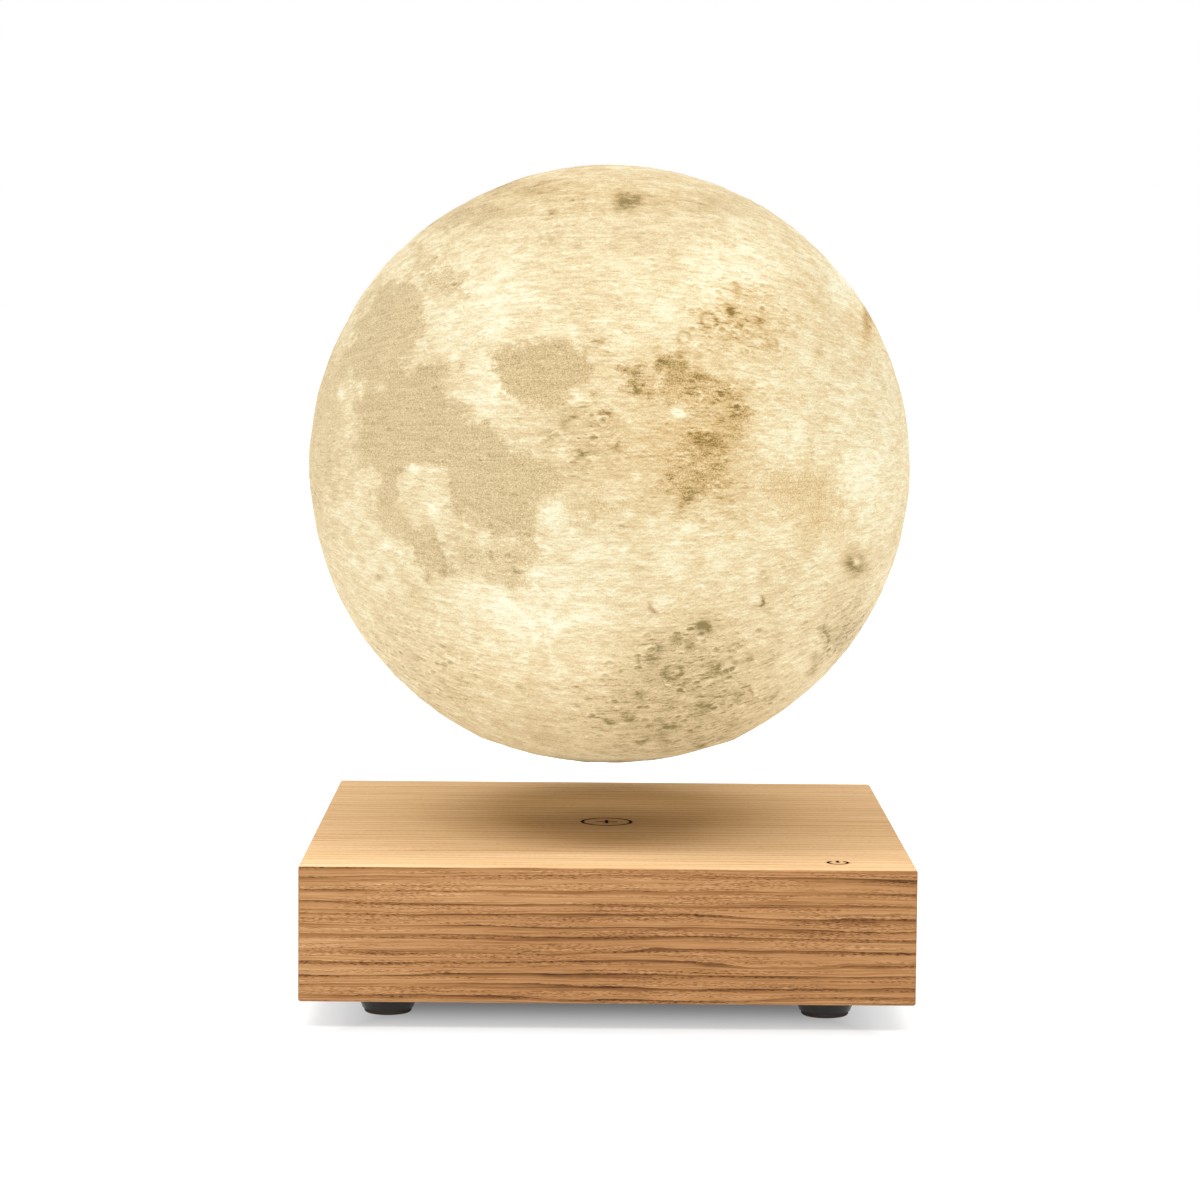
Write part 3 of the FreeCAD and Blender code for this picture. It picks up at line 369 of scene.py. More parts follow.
# Craters with a rim, x, y, radius, depth in mm, and tone of the rim and of the floor.
CRATERS = [
    (471, 522, 8, 0.35, 0.16, -0.05), (679, 409, 7, 0.3, 0.16, 0.1),
    (709, 320, 8, 0.35, -0.4, 0.08), (684, 337, 6, 0.3, -0.35, 0.05), (673, 673, 9, 0.5, -0.3, 0.02),
    (727, 667, 9, 0.45, -0.32, 0.02), (717, 703, 8, 0.45, -0.28, 0.0), (543, 630, 12, 0.4, 0.08, 0.02),
    (603, 642, 9, 0.35, 0.1, -0.12), (577, 688, 10, 0.4, 0.1, -0.14), (520, 690, 8, 0.35, 0.1, -0.14),
    (640, 590, 8, 0.3, 0.06, -0.06), (590, 285, 8, 0.3, 0.06, -0.06), (655, 262, 7, 0.3, 0.06, -0.06),
    (520, 250, 8, 0.3, 0.08, -0.12), (790, 440, 7, 0.3, 0.06, -0.06), (770, 520, 8, 0.3, 0.06, -0.05),
    (840, 420, 7, 0.3, 0.05, -0.06), (700, 560, 8, 0.3, 0.06, -0.06), (380, 620, 8, 0.35, 0.06, -0.12),
    (440, 680, 8, 0.35, 0.08, -0.12), (800, 320, 7, 0.3, 0.05, -0.08), (660, 220, 7, 0.3, 0.05, -0.1),
]

# Dark crescents, painted shade on one side of a crater: x, y, radius, the side they are on in degrees from
# the right, and change of tone.
SHADED_CRESCENTS = [
    (661, 604, 11, 215, -0.8), (757, 602, 7, 0, -1.0), (702, 634, 9, 80, -0.8), (645, 662, 7, 200, -0.6),
    (612, 716, 8, 250, -0.6), (628, 714, 7, 300, -0.6), (690, 690, 8, 150, -0.5), (744, 694, 8, 40, -0.5),
    (734, 290, 7, 60, -0.6), (771, 344, 7, 30, -0.6), (598, 348, 7, 90, -0.6), (628, 376, 7, 120, -0.6),
    (642, 388, 7, 200, -0.6), (662, 368, 8, 90, -0.6), (604, 420, 8, 60, -0.6), (586, 448, 8, 230, -0.6),
    (574, 424, 7, 100, -0.6), (612, 440, 7, 320, -0.5), (498, 556, 8, 200, -0.5), (520, 566, 8, 250, -0.5),
    (820, 640, 9, 20, -0.6), (806, 668, 9, 330, -0.6), (770, 690, 9, 300, -0.5), (670, 720, 9, 260, -0.6),
    (640, 735, 9, 280, -0.5), (700, 738, 9, 270, -0.5), (440, 236, 9, 60, -0.4), (412, 252, 8, 40, -0.4),
]

# The ochre ground, most of it at the right, x, y, half width, half height and strength.
OCHRE = [
    (705, 420, 90, 100, 1.0), (735, 315, 60, 50, 1.0), (800, 500, 60, 50, 0.8), (543, 373, 60, 44, 0.3),
    (868, 318, 20, 30, 1.0), (600, 190, 90, 20, 0.6),
]

# The moon's radius in the photograph, in pixels, and the share of it over which the markings fade out
# behind the edge.
SEEN_RADIUS = 301.6
EDGE_FADE = 0.35

# Bright rays: their centre, strength and reach in pixels, and how many each set has and where it starts.
RAY_CENTRE = (543, 630)
RAY_STRENGTH = 0.16
RAY_REACH = 80
RAY_SETS = ((5, 0.8), (8, 2.0))

# Tone of bright ground, the faint weight of a sea of tone 0.45 that counts far from every outline, that
# weight times its tone, and what noise adds to ground and seas at the back.
HIGHLAND_TONE = 0.68
FAINT_WEIGHT = 1e-6
FAINT_TONE = 0.45e-6
FAR_HIGHLAND_CHANGE = 0.16
FAR_SEA_CHANGE = 0.14

# Seas: reach of their edge and width of their shore in pixels, depth in mm, and the noise of the far ones.
SEA_SOFTNESS = 40
SHORE_WIDTH = 14
SEA_DEPTH = 0.25
FAR_SEA_LEVEL = 0.18
FAR_SEA_STEEPNESS = 120

# Line widths of crescents and rims as a share of the radius, a rim's height as a share of the crater's
# depth, and how strong dark marks are.
CRESCENT_LINE = 0.24
CRESCENT_STRENGTH = 0.75
RIM_LINE = 0.22
RIM_HEIGHT = 0.45
DARK_SPOT_STRENGTH = 1.15

# Relief of the ground in mm, and how rugged it is everywhere.
COARSE_RELIEF = 0.2
FINE_RELIEF = 0.1
LEAST_RUGGED = 0.22

# Seeded craters at the back and on the side that shows, which meet at this level of facing().
FAR_CRATERS = 190
FAR_SEED = 20
NEAR_CRATERS = 110
NEAR_SEED = 5
SIDES_MEET = 0.12

# The shell: half angle of its finer part in degrees, the height over which its relief sets in and its
# inset in mm, and how many rings the inner wall has and the angle of the last.
FINE_ANGLE = 66
RELIEF_START = 3.0
RELIEF_INSET = 0.04
WALL_RINGS = 19
WALL_END = 88
# The cap's relief in mm: its mean depth, how much it varies, and the width over which it sets in.
CAP_RELIEF = 0.3
CAP_ROUGHNESS = 0.16
CAP_RELIEF_START = 1.5
# Edges sharper than these degrees stay sharp.
SHELL_SMOOTHING = 50
CAP_SMOOTHING = 35


def moon_middle():
    return np.array((0, 0, MOON_CENTRE))


def photo_view():
    """The camera's place and axes as arrays, and its focal length in pixels."""
    return (np.array(CAMERA_PLACE), *map(np.array, camera_axes()), LENS / SENSOR_WIDTH * PHOTO_WIDTH)


def in_photo(places):
    """Where points in mm are seen, in pixels of the photograph."""
    camera, right, up, forward, focal = photo_view()
    away = places - camera
    depth = away @ forward
    return (PHOTO_WIDTH / 2 + focal * (away @ right) / depth,
            PHOTO_WIDTH / 2 - focal * (away @ up) / depth)


def on_moon(x, y):
    """The direction from the moon's centre to the point of its surface seen at a pixel."""
    camera, right, up, forward, focal = photo_view()
    ray = forward + right * (x - PHOTO_WIDTH / 2) / focal - up * (y - PHOTO_WIDTH / 2) / focal
    ray /= np.linalg.norm(ray)
    start = camera - moon_middle()
    along = -(start @ ray)
    miss = start @ start - along ** 2
    reach = math.sqrt(max(MOON_RADIUS ** 2 - miss, 0))
    hit = start + ray * (along - reach)
    return hit / np.linalg.norm(hit)


def facing(directions):
    """1 for a point that faces the camera, 0 at the edge of the disc, less behind it."""
    to_camera = np.array(CAMERA_PLACE) - moon_middle()
    return directions @ (to_camera / np.linalg.norm(to_camera))


def outline_depth(x, y, outline):
    """How far inside an outline each point is, negative outside."""
    inside = np.zeros(len(x), bool)
    nearest = np.full(len(x), 1e9)
    for (x0, y0), (x1, y1) in zip(outline, outline[1:] + outline[:1]):
        dx, dy = x1 - x0, y1 - y0
        along = np.clip(((x - x0) * dx + (y - y0) * dy) / (dx * dx + dy * dy), 0, 1)
        nearest = np.minimum(nearest, np.hypot(x - x0 - along * dx, y - y0 - along * dy))
        if dy:
            crossed = ((y0 > y) != (y1 > y)) & (x < dx * (y - y0) / dy + x0)
            inside ^= crossed
    return np.where(inside, nearest, -nearest)


def rough(directions, size, seed, octaves=4):
    """Fractal noise over the ball; size is the width of its largest forms, in mm."""
    shift = Vector((seed * 7.3, seed * 3.1, seed * 5.7))
    scale = MOON_RADIUS / size
    return np.array([noise.fractal(Vector(d) * scale + shift, 0.8, 2.1, octaves) for d in directions])


def any_direction(draw):
    return np.array(Vector((draw.gauss(0, 1), draw.gauss(0, 1), draw.gauss(0, 1))).normalized())


def far_side_craters():
    """Seeded craters for the part of the moon that the photograph doesn't show, many small and few large."""
    draw = random.Random(FAR_SEED)
    made = []
    while len(made) < FAR_CRATERS:
        where = any_direction(draw)
        radius = 1.1 + 4.2 * draw.random() ** 3.2
        if facing(where) < SIDES_MEET:
            made.append((where, radius, 0.1 + 0.09 * radius, 0.08, -0.08))
    return made


def all_craters():
    """Direction, radius and depth in mm, and tones of the rim and of the floor, for every crater."""
    pixel = MOON_RADIUS / SEEN_RADIUS
    seen = [(on_moon(x, y), r * pixel, depth, rim, floor) for x, y, r, depth, rim, floor in CRATERS]
    draw = random.Random(NEAR_SEED)
    while len(seen) < len(CRATERS) + NEAR_CRATERS:
        where = any_direction(draw)
        if facing(where) > SIDES_MEET:
            seen.append((where, 0.9 + 1.2 * draw.random() ** 2, 0.14, 0.03, -0.03))
    return seen + far_side_craters()


def patch(x, y, place, fall, firmness=1.0):
    """A soft oval: 1 in its middle and 0 far outside, from its x, y, half width and half height."""
    cx, cy, wide, high = place
    return np.exp(-fall * (((x - cx) / wide) ** 2 + ((y - cy) / high) ** 2) ** firmness)


def moon_fields(directions):
    """The tones and the height of the surface in each direction."""
    x, y = in_photo(moon_middle() + directions * MOON_RADIUS)
    near = np.clip((facing(directions) + EDGE_FADE) / EDGE_FADE, 0, 1)
    front = near * near * (3 - 2 * near)

    tone = np.full(len(x), HIGHLAND_TONE)
    # broad tones, with the painted shade along the disc's edge
    for *place, change in BROAD_TONES_AND_EDGE_SHADE:
        tone += front * change * patch(x, y, place, 0.7, 1.3)
    turn = np.arctan2(y - RAY_CENTRE[1], x - RAY_CENTRE[0])
    reach = np.hypot(x - RAY_CENTRE[0], y - RAY_CENTRE[1])
    rays = np.clip(sum(np.cos(count * turn + start) * 0.6 for count, start in RAY_SETS), 0, 1)
    tone += front * RAY_STRENGTH * rays * np.exp(-reach / RAY_REACH)
    broad = rough(directions, 55, seed=3, octaves=3)
    tone += (1 - front) * FAR_HIGHLAND_CHANGE * broad

    seas = np.full(len(x), -SEA_SOFTNESS, float)
    weights, levels = np.full(len(x), FAINT_WEIGHT), np.full(len(x), FAINT_TONE)
    for level, firmness, outline in SEAS.values():
        depth = firmness * outline_depth(x, y, outline)
        # where seas meet, the one that a point lies deeper in gives most of its tone
        weight = np.exp(np.clip(depth, -60, 12) / 4)
        weights, levels = weights + weight, levels + weight * level
        seas = np.maximum(seas, depth)
    relief = rough(directions, 16, seed=5, octaves=4)
    sea_tone = levels / weights + FAR_SEA_CHANGE * (1 - front) * relief
    for outline in ISLANDS.values():
        seas = np.minimum(seas, -outline_depth(x, y, outline))
    far_sea = (rough(directions, 62, seed=8, octaves=2) - FAR_SEA_LEVEL) * FAR_SEA_STEEPNESS
    seas = front * seas + (1 - front) * np.clip(far_sea, -SEA_SOFTNESS, SEA_SOFTNESS)
    sea = np.clip(0.5 + seas / (2 * SEA_SOFTNESS), 0, 1)

    spots = np.zeros(len(x))
    shows = facing(directions) > 0
    for cx, cy, radius, change in SPOTS:
        away = ((x - cx) ** 2 + (y - cy) ** 2) / radius ** 2
        spots += shows * change * np.exp(-0.8 * away) * (DARK_SPOT_STRENGTH if change < 0 else 1.0)
    # painted shade: a dark arc on one side of each crater
    for cx, cy, radius, side, change in SHADED_CRESCENTS:
        apart = np.hypot(x - cx, y - cy) / radius
        line = np.exp(-((apart - 1) / CRESCENT_LINE) ** 2)
        lean = np.cos(np.arctan2(cy - y, x - cx) - math.radians(side))
        spots += shows * CRESCENT_STRENGTH * change * line * np.clip(lean, 0, 1) ** 2

    height = COARSE_RELIEF * relief + FINE_RELIEF * rough(directions, 4.5, seed=9, octaves=3)
    for where, radius, depth, rim, floor in all_craters():
        apart = np.arccos(np.clip(directions @ where, -1, 1)) * MOON_RADIUS / radius
        ring = np.exp(-((apart - 1) / RIM_LINE) ** 2)
        bowl = np.clip(1 - apart ** 2, 0, 1)
        height += RIM_HEIGHT * depth * ring - depth * bowl ** 0.7
        spots += rim * ring + floor * np.clip(1.15 - apart, 0, 1) ** 0.5
    height -= SEA_DEPTH * np.clip(seas / SHORE_WIDTH, 0, 1)
    rugged, ochre = np.full(len(x), LEAST_RUGGED), np.zeros(len(x))
    for *place, strength in RUGGED:
        rugged = np.maximum(rugged, front * strength * patch(x, y, place, 0.5, 1.5))
    for *place, strength in OCHRE:
        ochre = np.maximum(ochre, front * strength * patch(x, y, place, 0.5))
    ochre = np.maximum(ochre, (1 - front) * np.clip(0.5 + broad, 0, 1))
    return {"tone": tone, "sea": sea, "sea_tone": sea_tone, "spots": spots, "height": height,
            "rugged": rugged, "ochre": ochre, "glow": glow_of(directions)}


def glow_of(directions):
    """How strongly the light inside shows: less at the top, least where the lamp plate shades the cap."""
    level = directions[:, 2]
    return np.interp(level, [-1.0, -0.985, -0.95, -0.6, 0.0, 0.7, 1.0],
                     [0.05, 0.14, 0.64, 0.74, 0.7, 0.56, 0.46])


def vertex_places(mesh):
    places = np.empty(len(mesh.vertices) * 3, np.float32)
    mesh.vertices.foreach_get("co", places)
    return places.reshape(-1, 3).astype(float)


def put_vertices(mesh, places):
    mesh.vertices.foreach_set("co", places.astype(np.float32).ravel())
    mesh.update()


def directions_of(places):
    away = places / MM - moon_middle()
    return away / np.linalg.norm(away, axis=1)[:, None]


def name_shape(name):
    """Names the shape just added and puts its place into its mesh."""
    thing = bpy.context.object
    thing.name = thing.data.name = name
    take(thing)
    bpy.ops.object.transform_apply(location=True, rotation=True, scale=True)
    return thing


def finish_shape(thing, angle, moon_print):
    """Merges doubles, turns the faces outwards, shades by angle, and writes what the finish reads."""
    shape_mode(True)
    bpy.ops.mesh.select_all(action="SELECT")
    bpy.ops.mesh.remove_doubles(threshold=0.01 * MM)
    bpy.ops.mesh.normals_make_consistent(inside=False)
    shape_mode(False)
    take(thing)
    bpy.ops.object.shade_smooth_by_angle(angle=math.radians(angle))
    mesh = thing.data
    fields = moon_fields(directions_of(vertex_places(mesh)))
    del fields["height"]
    for name, numbers in fields.items():
        made = mesh.attributes.new(name, "FLOAT", "POINT")
        made.data.foreach_set("value", numbers.astype(np.float32))
    mesh.materials.append(moon_print)


def grow_loop(steps, radius, height):
    """Extrudes the selected round edge from one radius and height through the next ones, in mm."""
    for next_radius, next_height in steps:
        bpy.ops.mesh.extrude_edges_move()
        factor = next_radius / radius
        bpy.ops.transform.resize(value=(factor, factor, 1), center_override=(0, 0, height * MM))
        bpy.ops.transform.translate(value=(0, 0, (next_height - height) * MM))
        radius, height = next_radius, next_height
    bpy.ops.mesh.merge(type="CENTER")


def select_open_edge():
    bpy.ops.mesh.select_mode(type="EDGE")
    bpy.ops.mesh.select_all(action="DESELECT")
    bpy.ops.mesh.select_non_manifold(extend=False, use_wire=False, use_boundary=True,
                                     use_multi_face=False, use_non_contiguous=False, use_verts=False)


def make_moon_shell(moon_print):
    deselect_all()
    bpy.ops.mesh.primitive_ico_sphere_add(subdivisions=7, radius=MOON_RADIUS * MM,
                                          location=(0, 0, MOON_CENTRE * MM))
    shell = name_shape("printed_moon_shell")
    mesh = shell.data

    # finer where the camera looks
    shape_mode(True)
    bpy.ops.mesh.select_mode(type="FACE")
    bpy.ops.mesh.select_all(action="DESELECT")
    shape_mode(False)
    centres = np.array([p.center for p in mesh.polygons])
    towards = facing(directions_of(centres)) > math.cos(math.radians(FINE_ANGLE))
    mesh.polygons.foreach_set("select", towards)
    shape_mode(True)
    bpy.ops.mesh.subdivide(number_cuts=1)
    shape_mode(False)
    put_vertices(mesh, (directions_of(vertex_places(mesh)) * MOON_RADIUS + moon_middle()) * MM)

    # the opening that the cap closes
    opening = CAP_RADIUS + CAP_GAP
    opening_height = MOON_CENTRE - math.sqrt(MOON_RADIUS ** 2 - opening ** 2)
    shape_mode(True)
    bpy.ops.mesh.select_all(action="SELECT")
    bpy.ops.mesh.bisect(plane_co=(0, 0, opening_height * MM), plane_no=(0, 0, 1), clear_inner=True)
    shape_mode(False)

    # relief, cut into the ball: only the highest rims come near its own radius
    places = vertex_places(mesh)
    directions = directions_of(places)
    edge = np.abs(places[:, 2] / MM - opening_height) < 0.01
    height = moon_fields(directions)["height"]
    height = np.minimum(height - np.quantile(height, 0.995), 0)
    above_edge = np.clip((places[:, 2] / MM - opening_height) / RELIEF_START, 0, 1)
    radii = MOON_RADIUS + height * above_edge - RELIEF_INSET
    places = directions * radii[:, None] + moon_middle()
    around = np.hypot(places[:, 0], places[:, 1])
    places[edge, :2] *= (opening / around[edge])[:, None]
    places[edge, 2] = opening_height
    put_vertices(mesh, places * MM)

    # lip and inner wall
    shape_mode(True)
    select_open_edge()
    inner = MOON_RADIUS - SHELL_WALL
    lip_reach = math.sqrt(inner ** 2 - (MOON_CENTRE - LIP_TOP) ** 2)
    steps = [(opening, LIP_BOTTOM), (LIP_BORE, LIP_BOTTOM), (LIP_BORE, LIP_TOP), (lip_reach, LIP_TOP)]
    start = math.asin((LIP_TOP - MOON_CENTRE) / inner)
    for step in range(1, WALL_RINGS + 1):
        angle = start + (math.radians(WALL_END) - start) * step / WALL_RINGS
        steps.append((inner * math.cos(angle), MOON_CENTRE + inner * math.sin(angle)))
    grow_loop(steps, opening, opening_height)
    finish_shape(shell, SHELL_SMOOTHING, moon_print)
    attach(shell, "moon")
    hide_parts("moon_shell")


def make_moon_cap(moon_print):
    """The flatter bottom of the moon, one turned form with its spigot and the magnet's cup."""
    deselect_all()
    bpy.ops.mesh.primitive_uv_sphere_add(segments=200, ring_count=300, radius=CAP_CURVE * MM,
                                         location=(0, 0, (MOON_BOTTOM + CAP_CURVE) * MM))
    cap = name_shape("printed_moon_cap")
    shape_mode(True)
    bpy.ops.mesh.select_all(action="SELECT")
    bpy.ops.mesh.bisect(plane_co=(0, 0, CAP_EDGE * MM), plane_no=(0, 0, 1), clear_outer=True)
    shape_mode(False)
    mesh = cap.data
    places = vertex_places(mesh) / MM
    directions = directions_of(places * MM)
    inward = np.clip((CAP_EDGE - places[:, 2]) / CAP_RELIEF_START, 0, 1)
    places[:, 2] += inward * (CAP_RELIEF + CAP_ROUGHNESS * rough(directions, 5, seed=12, octaves=3))
    put_vertices(mesh, places * MM)
    shape_mode(True)
    select_open_edge()
    grow_loop([(CAP_RADIUS, RIM_TOP), (SPIGOT_RADIUS, RIM_TOP), (SPIGOT_RADIUS, LAMP_PLATE_TOP),
               (SPIGOT_BORE, LAMP_PLATE_TOP), (SPIGOT_BORE, RIM_TOP), (CUP_RADIUS, RIM_TOP),
               (CUP_RADIUS, LAMP_PLATE_BOTTOM), (CUP_BORE, LAMP_PLATE_BOTTOM), (CUP_BORE, CAP_FLOOR_TOP)],
              CAP_RADIUS, CAP_EDGE)
    finish_shape(cap, CAP_SMOOTHING, moon_print)
    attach(cap, "moon")
    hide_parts("moon_cap")


# ------------ finishes

def change(tree, level, source, strength, middle=0.5):
    """Moves a level by strength times a grain's distance from its middle."""
    off = add(tree, "Math:SUBTRACT", (source, middle))
    return add(tree, "Math:MULTIPLY_ADD", (off, strength, level))


def moon_print_finish():
    """White PLA, printed in thin layers: warm light comes through, less where the wall is thick."""
    made, tree, shader = new_material("pla_white_printed_backlit", Roughness=0.62, IOR=1.46,
                                      Specular_IOR_Level=0.15)
    flat = millimetres(tree)
    parts = add(tree, "SeparateXYZ", (flat,)).outputs
    # the layers bow towards the sides of the ball, as on a print that is built up on a slant
    across = add(tree, "Math:DIVIDE", (parts[0], MOON_RADIUS))
    across = add(tree, "Math:MULTIPLY", (across, across))
    bow = add(tree, "Math:SQRT", (add(tree, "Math:MULTIPLY_ADD", (across, -0.6, 1.0)),))
    layer = add(tree, "Math:DIVIDE", (add(tree, "Math:SUBTRACT", (parts[2], MOON_CENTRE)), bow))
    bowed = add(tree, "CombineXYZ", (parts[0], parts[1], layer))

    def grain(scale, detail, roughness=0.55, place=(0, 0, 0)):
        stretched = add(tree, "VectorMath:MULTIPLY_ADD", (bowed, scale, place))
        return add(tree, "TexNoise", {
            "Vector": stretched, "Scale": 1.0, "Detail": detail, "Roughness": roughness})

    ragged = add(tree, "TexNoise", {"Vector": flat, "Scale": 0.2, "Detail": 7, "Roughness": 0.68})
    patches = add(tree, "TexNoise", {"Vector": flat, "Scale": 0.085, "Detail": 4, "Roughness": 0.6})
    # layers of the print, drawn coarser than the real 0.2 mm so that they show
    layers = grain((0.14, 0.14, 1.5), 3)
    lines = grain((0.06, 0.06, 3.6), 2, place=(4, 9, 2))
    mottle = grain((0.22, 0.22, 0.55), 5, 0.66, (17, 2, 9))
    # the fine grain of the surface, also coarser than the real one
    speckle = grain((2.8, 2.8, 3.2), 2, 0.6, (1, 5, 8))
    dashes = grain((0.34, 0.34, 1.7), 2, 0.6, (31, 7, 3))
    # rough ground with painted light and shade: pale where it faces up, dark where it faces down
    rough_scale = (0.5, 0.5, 1.0)
    ground = add(tree, "Math:SUBTRACT", (
        grain(rough_scale, 5, 0.78, (8, 3, 5)), grain(rough_scale, 5, 0.78, (8, 3, 5.36))))

    def craterlets(size, rise, place):
        """Bowls with raised rims, looked up at the point or a little above it: the one less the other paints
        light and shade, as if lit from above.
        """
        moved = add(tree, "VectorMath:MULTIPLY_ADD", (flat, (size, size, size * 1.1), (place, 6, rise)))
        cells = add(tree, "TexVoronoi", {"Vector": moved, "Scale": 1.0, "Randomness": 1.0})
        bowl = add(tree, "MapRange", (cells, 0.1, 0.33), interpolation_type="SMOOTHSTEP")
        rim = add(tree, "MapRange", (cells, 0.33, 0.5, 0, 0.7), interpolation_type="SMOOTHSTEP")
        return add(tree, "Math:SUBTRACT", (bowl, rim)), bowl, cells

    here, bowl, cells = craterlets(0.27, 0, 2)
    above = craterlets(0.27, 0.14, 2)[0]
    small_here, _, small_cells = craterlets(0.52, 0, 5)
    small_above = craterlets(0.52, 0.16, 5)[0]
    chosen = add(tree, "SeparateColor", (cells.outputs["Color"],)).outputs
    small_chosen = add(tree, "SeparateColor", (small_cells.outputs["Color"],)).outputs

    read = {name: add(tree, "Attribute", attribute_name=name).outputs[
        "Fac"] for name in ("tone", "sea", "sea_tone", "spots", "glow", "rugged", "ochre")}
    edge = change(tree, change(tree, read["sea"], ragged, 0.62), layers, 0.26)
    in_sea = add(tree, "MapRange", (edge, 0.45, 0.55), interpolation_type="SMOOTHSTEP")
    # the seas are calm, except where small craters break them up
    calm = add(tree, "Math:MULTIPLY_ADD", (read["rugged"], 0.9, -0.85))
    calm = add(tree, "Math:MULTIPLY_ADD", (in_sea, calm, 1.0))

    def calmed(strength):
        return add(tree, "Math:MULTIPLY", (calm, strength))

    level = add(tree, "Mix", {0: in_sea, 2: read["tone"], 3: read["sea_tone"]}, data_type="FLOAT")
    level = add(tree, "Math:ADD", (level, read["spots"]))
    for source, strength in (
            (patches, calmed(0.45)), (mottle, calmed(0.85)), (layers, 0.32), (lines, 0.26),
            (speckle, add(tree, "MapRange", (in_sea, 0, 1, 0.6, 1.3)))):
        level = change(tree, level, source, strength)
    # painted light and shade of the rough ground, as if lit from above
    level = add(tree, "Math:MULTIPLY_ADD", (ground, calmed(0.85), level))
    fleck = calmed(add(tree, "MapRange", (read["rugged"], 0.3, 1.0, 0.5, 1.5)))
    fleck = add(tree, "Math:MULTIPLY", (add(tree, "MapRange", (dashes, 0.56, 0.72, 0, 0.3)), fleck))
    level = add(tree, "Math:SUBTRACT", (level, fleck))

    def pitted(pick, low, high, strength):
        """Where some of the craterlets are left, more on rugged ground."""
        some = add(tree, "MapRange", (pick, low, high))
        some = add(tree, "Math:MULTIPLY", (read["rugged"], some))
        return add(tree, "Math:MULTIPLY", (some, strength))

    # painted light and shade on the craterlets, as if lit from above, and painted shade in their bowls
    level = change(tree, level, here, pitted(chosen[0], 0.25, 0.35, 0.3), above)
    level = change(tree, level, bowl, pitted(chosen[0], 0.25, 0.35, 0.2), 1.0)
    level = change(tree, level, small_here, pitted(small_chosen[0], 0.45, 0.55, 0.22), small_above)
    glint = add(tree, "Math:MULTIPLY", (add(tree, "MapRange", (
        small_cells, 0.06, 0.26, 1, 0)), add(tree, "MapRange", (small_chosen[1], 0.86, 0.88))))
    level = add(tree, "Math:MULTIPLY_ADD", (glint, 0.26, level))
    beige = add(tree, "ValToRGB", (level,), stops=[
        (0.0, "#968658"), (0.14, "#B3A075"), (0.3, "#CDB68A"), (0.44, "#DCC599"), (0.58, "#E7D1A4"),
        (0.72, "#F1DEB4"), (0.86, "#F8EFCA"), (1.0, "#FFFBE0")])
    ochre = add(tree, "ValToRGB", (level,), stops=[
        (0.0, "#8E733A"), (0.14, "#B09254"), (0.3, "#CDAA70"), (0.44, "#DDBD86"), (0.58, "#E8CD9A"),
        (0.72, "#F3DEB0"), (0.86, "#FAF0C8"), (1.0, "#FFFBDC")])
    colour = add(tree, "Mix", {0: read["ochre"], 6: beige, 7: ochre}, data_type="RGBA").outputs[2]
    bumps = change(tree, change(tree, here, speckle, 1.0), layers, 1.2)
    feed(shader, {
        "Base Color": add(tree, "VectorMath:SCALE", {0: colour, "Scale": 0.3}),
        "Emission Color": add(tree, "VectorMath:SCALE", {0: colour, "Scale": read["glow"]}),
        "Emission Strength": 1.0,
        "Normal": add(tree, "Bump", {"Height": bumps, "Strength": 0.5, "Distance": 0.22 * MM})})
    return made


def oak_finish(name, turn, across, ring_gap, stops, marks=False, contrast=1.0):
    """Oak, sawn along the grain, sanded and oiled: rings run as long wavy streaks with short dark pores.

    turn brings the grain to X, across is the axis that the rings are stacked along.
    """
    made, tree, shader = new_material(name, Specular_IOR_Level=0.0 if marks else 0.15)

    def grain(along, side, place, detail=2, roughness=0.5):
        scale = (along, side, side * (0.3 if across == "Y" else 1.0))
        return add(tree, "TexNoise", {"Vector": millimetres(
            tree, scale, turn, place), "Scale": 1.0, "Detail": detail, "Roughness": roughness})

    # growth rings: lines that wander and crowd, each darkening towards one sharp side, the late wood
    height = add(tree, "SeparateXYZ", (millimetres(tree, turn=turn),)).outputs[across]
    height = change(tree, height, grain(0.012, 0.1, (3, 7, 1)), 4.5)
    height = change(tree, height, grain(0.004, 0.3, (6, 2, 8)), 3.6)
    height = change(tree, height, grain(0.08, 0.6, (1, 4, 2), 3, 0.6), 0.9)
    fade = grain(0.02, 0.4, (5, 1, 9), 3)

    def rings(gap, early, faint, bold, least):
        """Rings a gap apart, dark at their late wood, that fade out in places."""
        place = add(tree, "Math:FRACT", (add(tree, "Math:DIVIDE", (height, gap)),))
        dark = add(tree, "MapRange", (place, early, 1.0), interpolation_type="SMOOTHSTEP")
        return add(tree, "Math:MULTIPLY", (dark, add(tree, "MapRange", (fade, faint, bold, least, 1))))

    pores = grain(0.85, 5.6, (2, 8, 4), 1)
    rows = grain(0.03, 0.9, (9, 2, 7))

    def in_rows(low, high, full):
        """Short streaks from one side of the pores' grain, gathered in rows."""
        return add(tree, "Math:MULTIPLY", (
            add(tree, "MapRange", (pores, low, high)), add(tree, "MapRange", (rows, 0.44, full))))

    level = change(tree, 0.7, grain(0.012, 0.12, (0, 0, 0), 3), 0.5 * contrast)
    level = change(tree, level, grain(0.07, 3.4, (0, 0, 0), 4, 0.68), 0.85 * contrast)
    for streaks, strength in (
            (rings(ring_gap, 0.55, 0.3, 0.55, 0.25), -0.46),
            (rings(0.31 * ring_gap, 0.5, 0.65, 0.4, 0.2), -0.24),
            (in_rows(0.53, 0.61, 0.56), -0.3), (in_rows(0.45, 0.36, 0.58), 0.12)):
        level = add(tree, "Math:MULTIPLY_ADD", (streaks, strength * contrast, level))
    colour = add(tree, "ValToRGB", (level,), stops=stops)
    feed(shader, {
        "Base Color": burnt_in(tree, colour) if marks else colour,
        "Roughness": add(tree, "MapRange", (level, 0.2, 0.9, 0.62, 0.42)),
        "Normal": add(tree, "Bump", {"Height": level, "Strength": 0.35, "Distance": 0.12 * MM})})
    return made


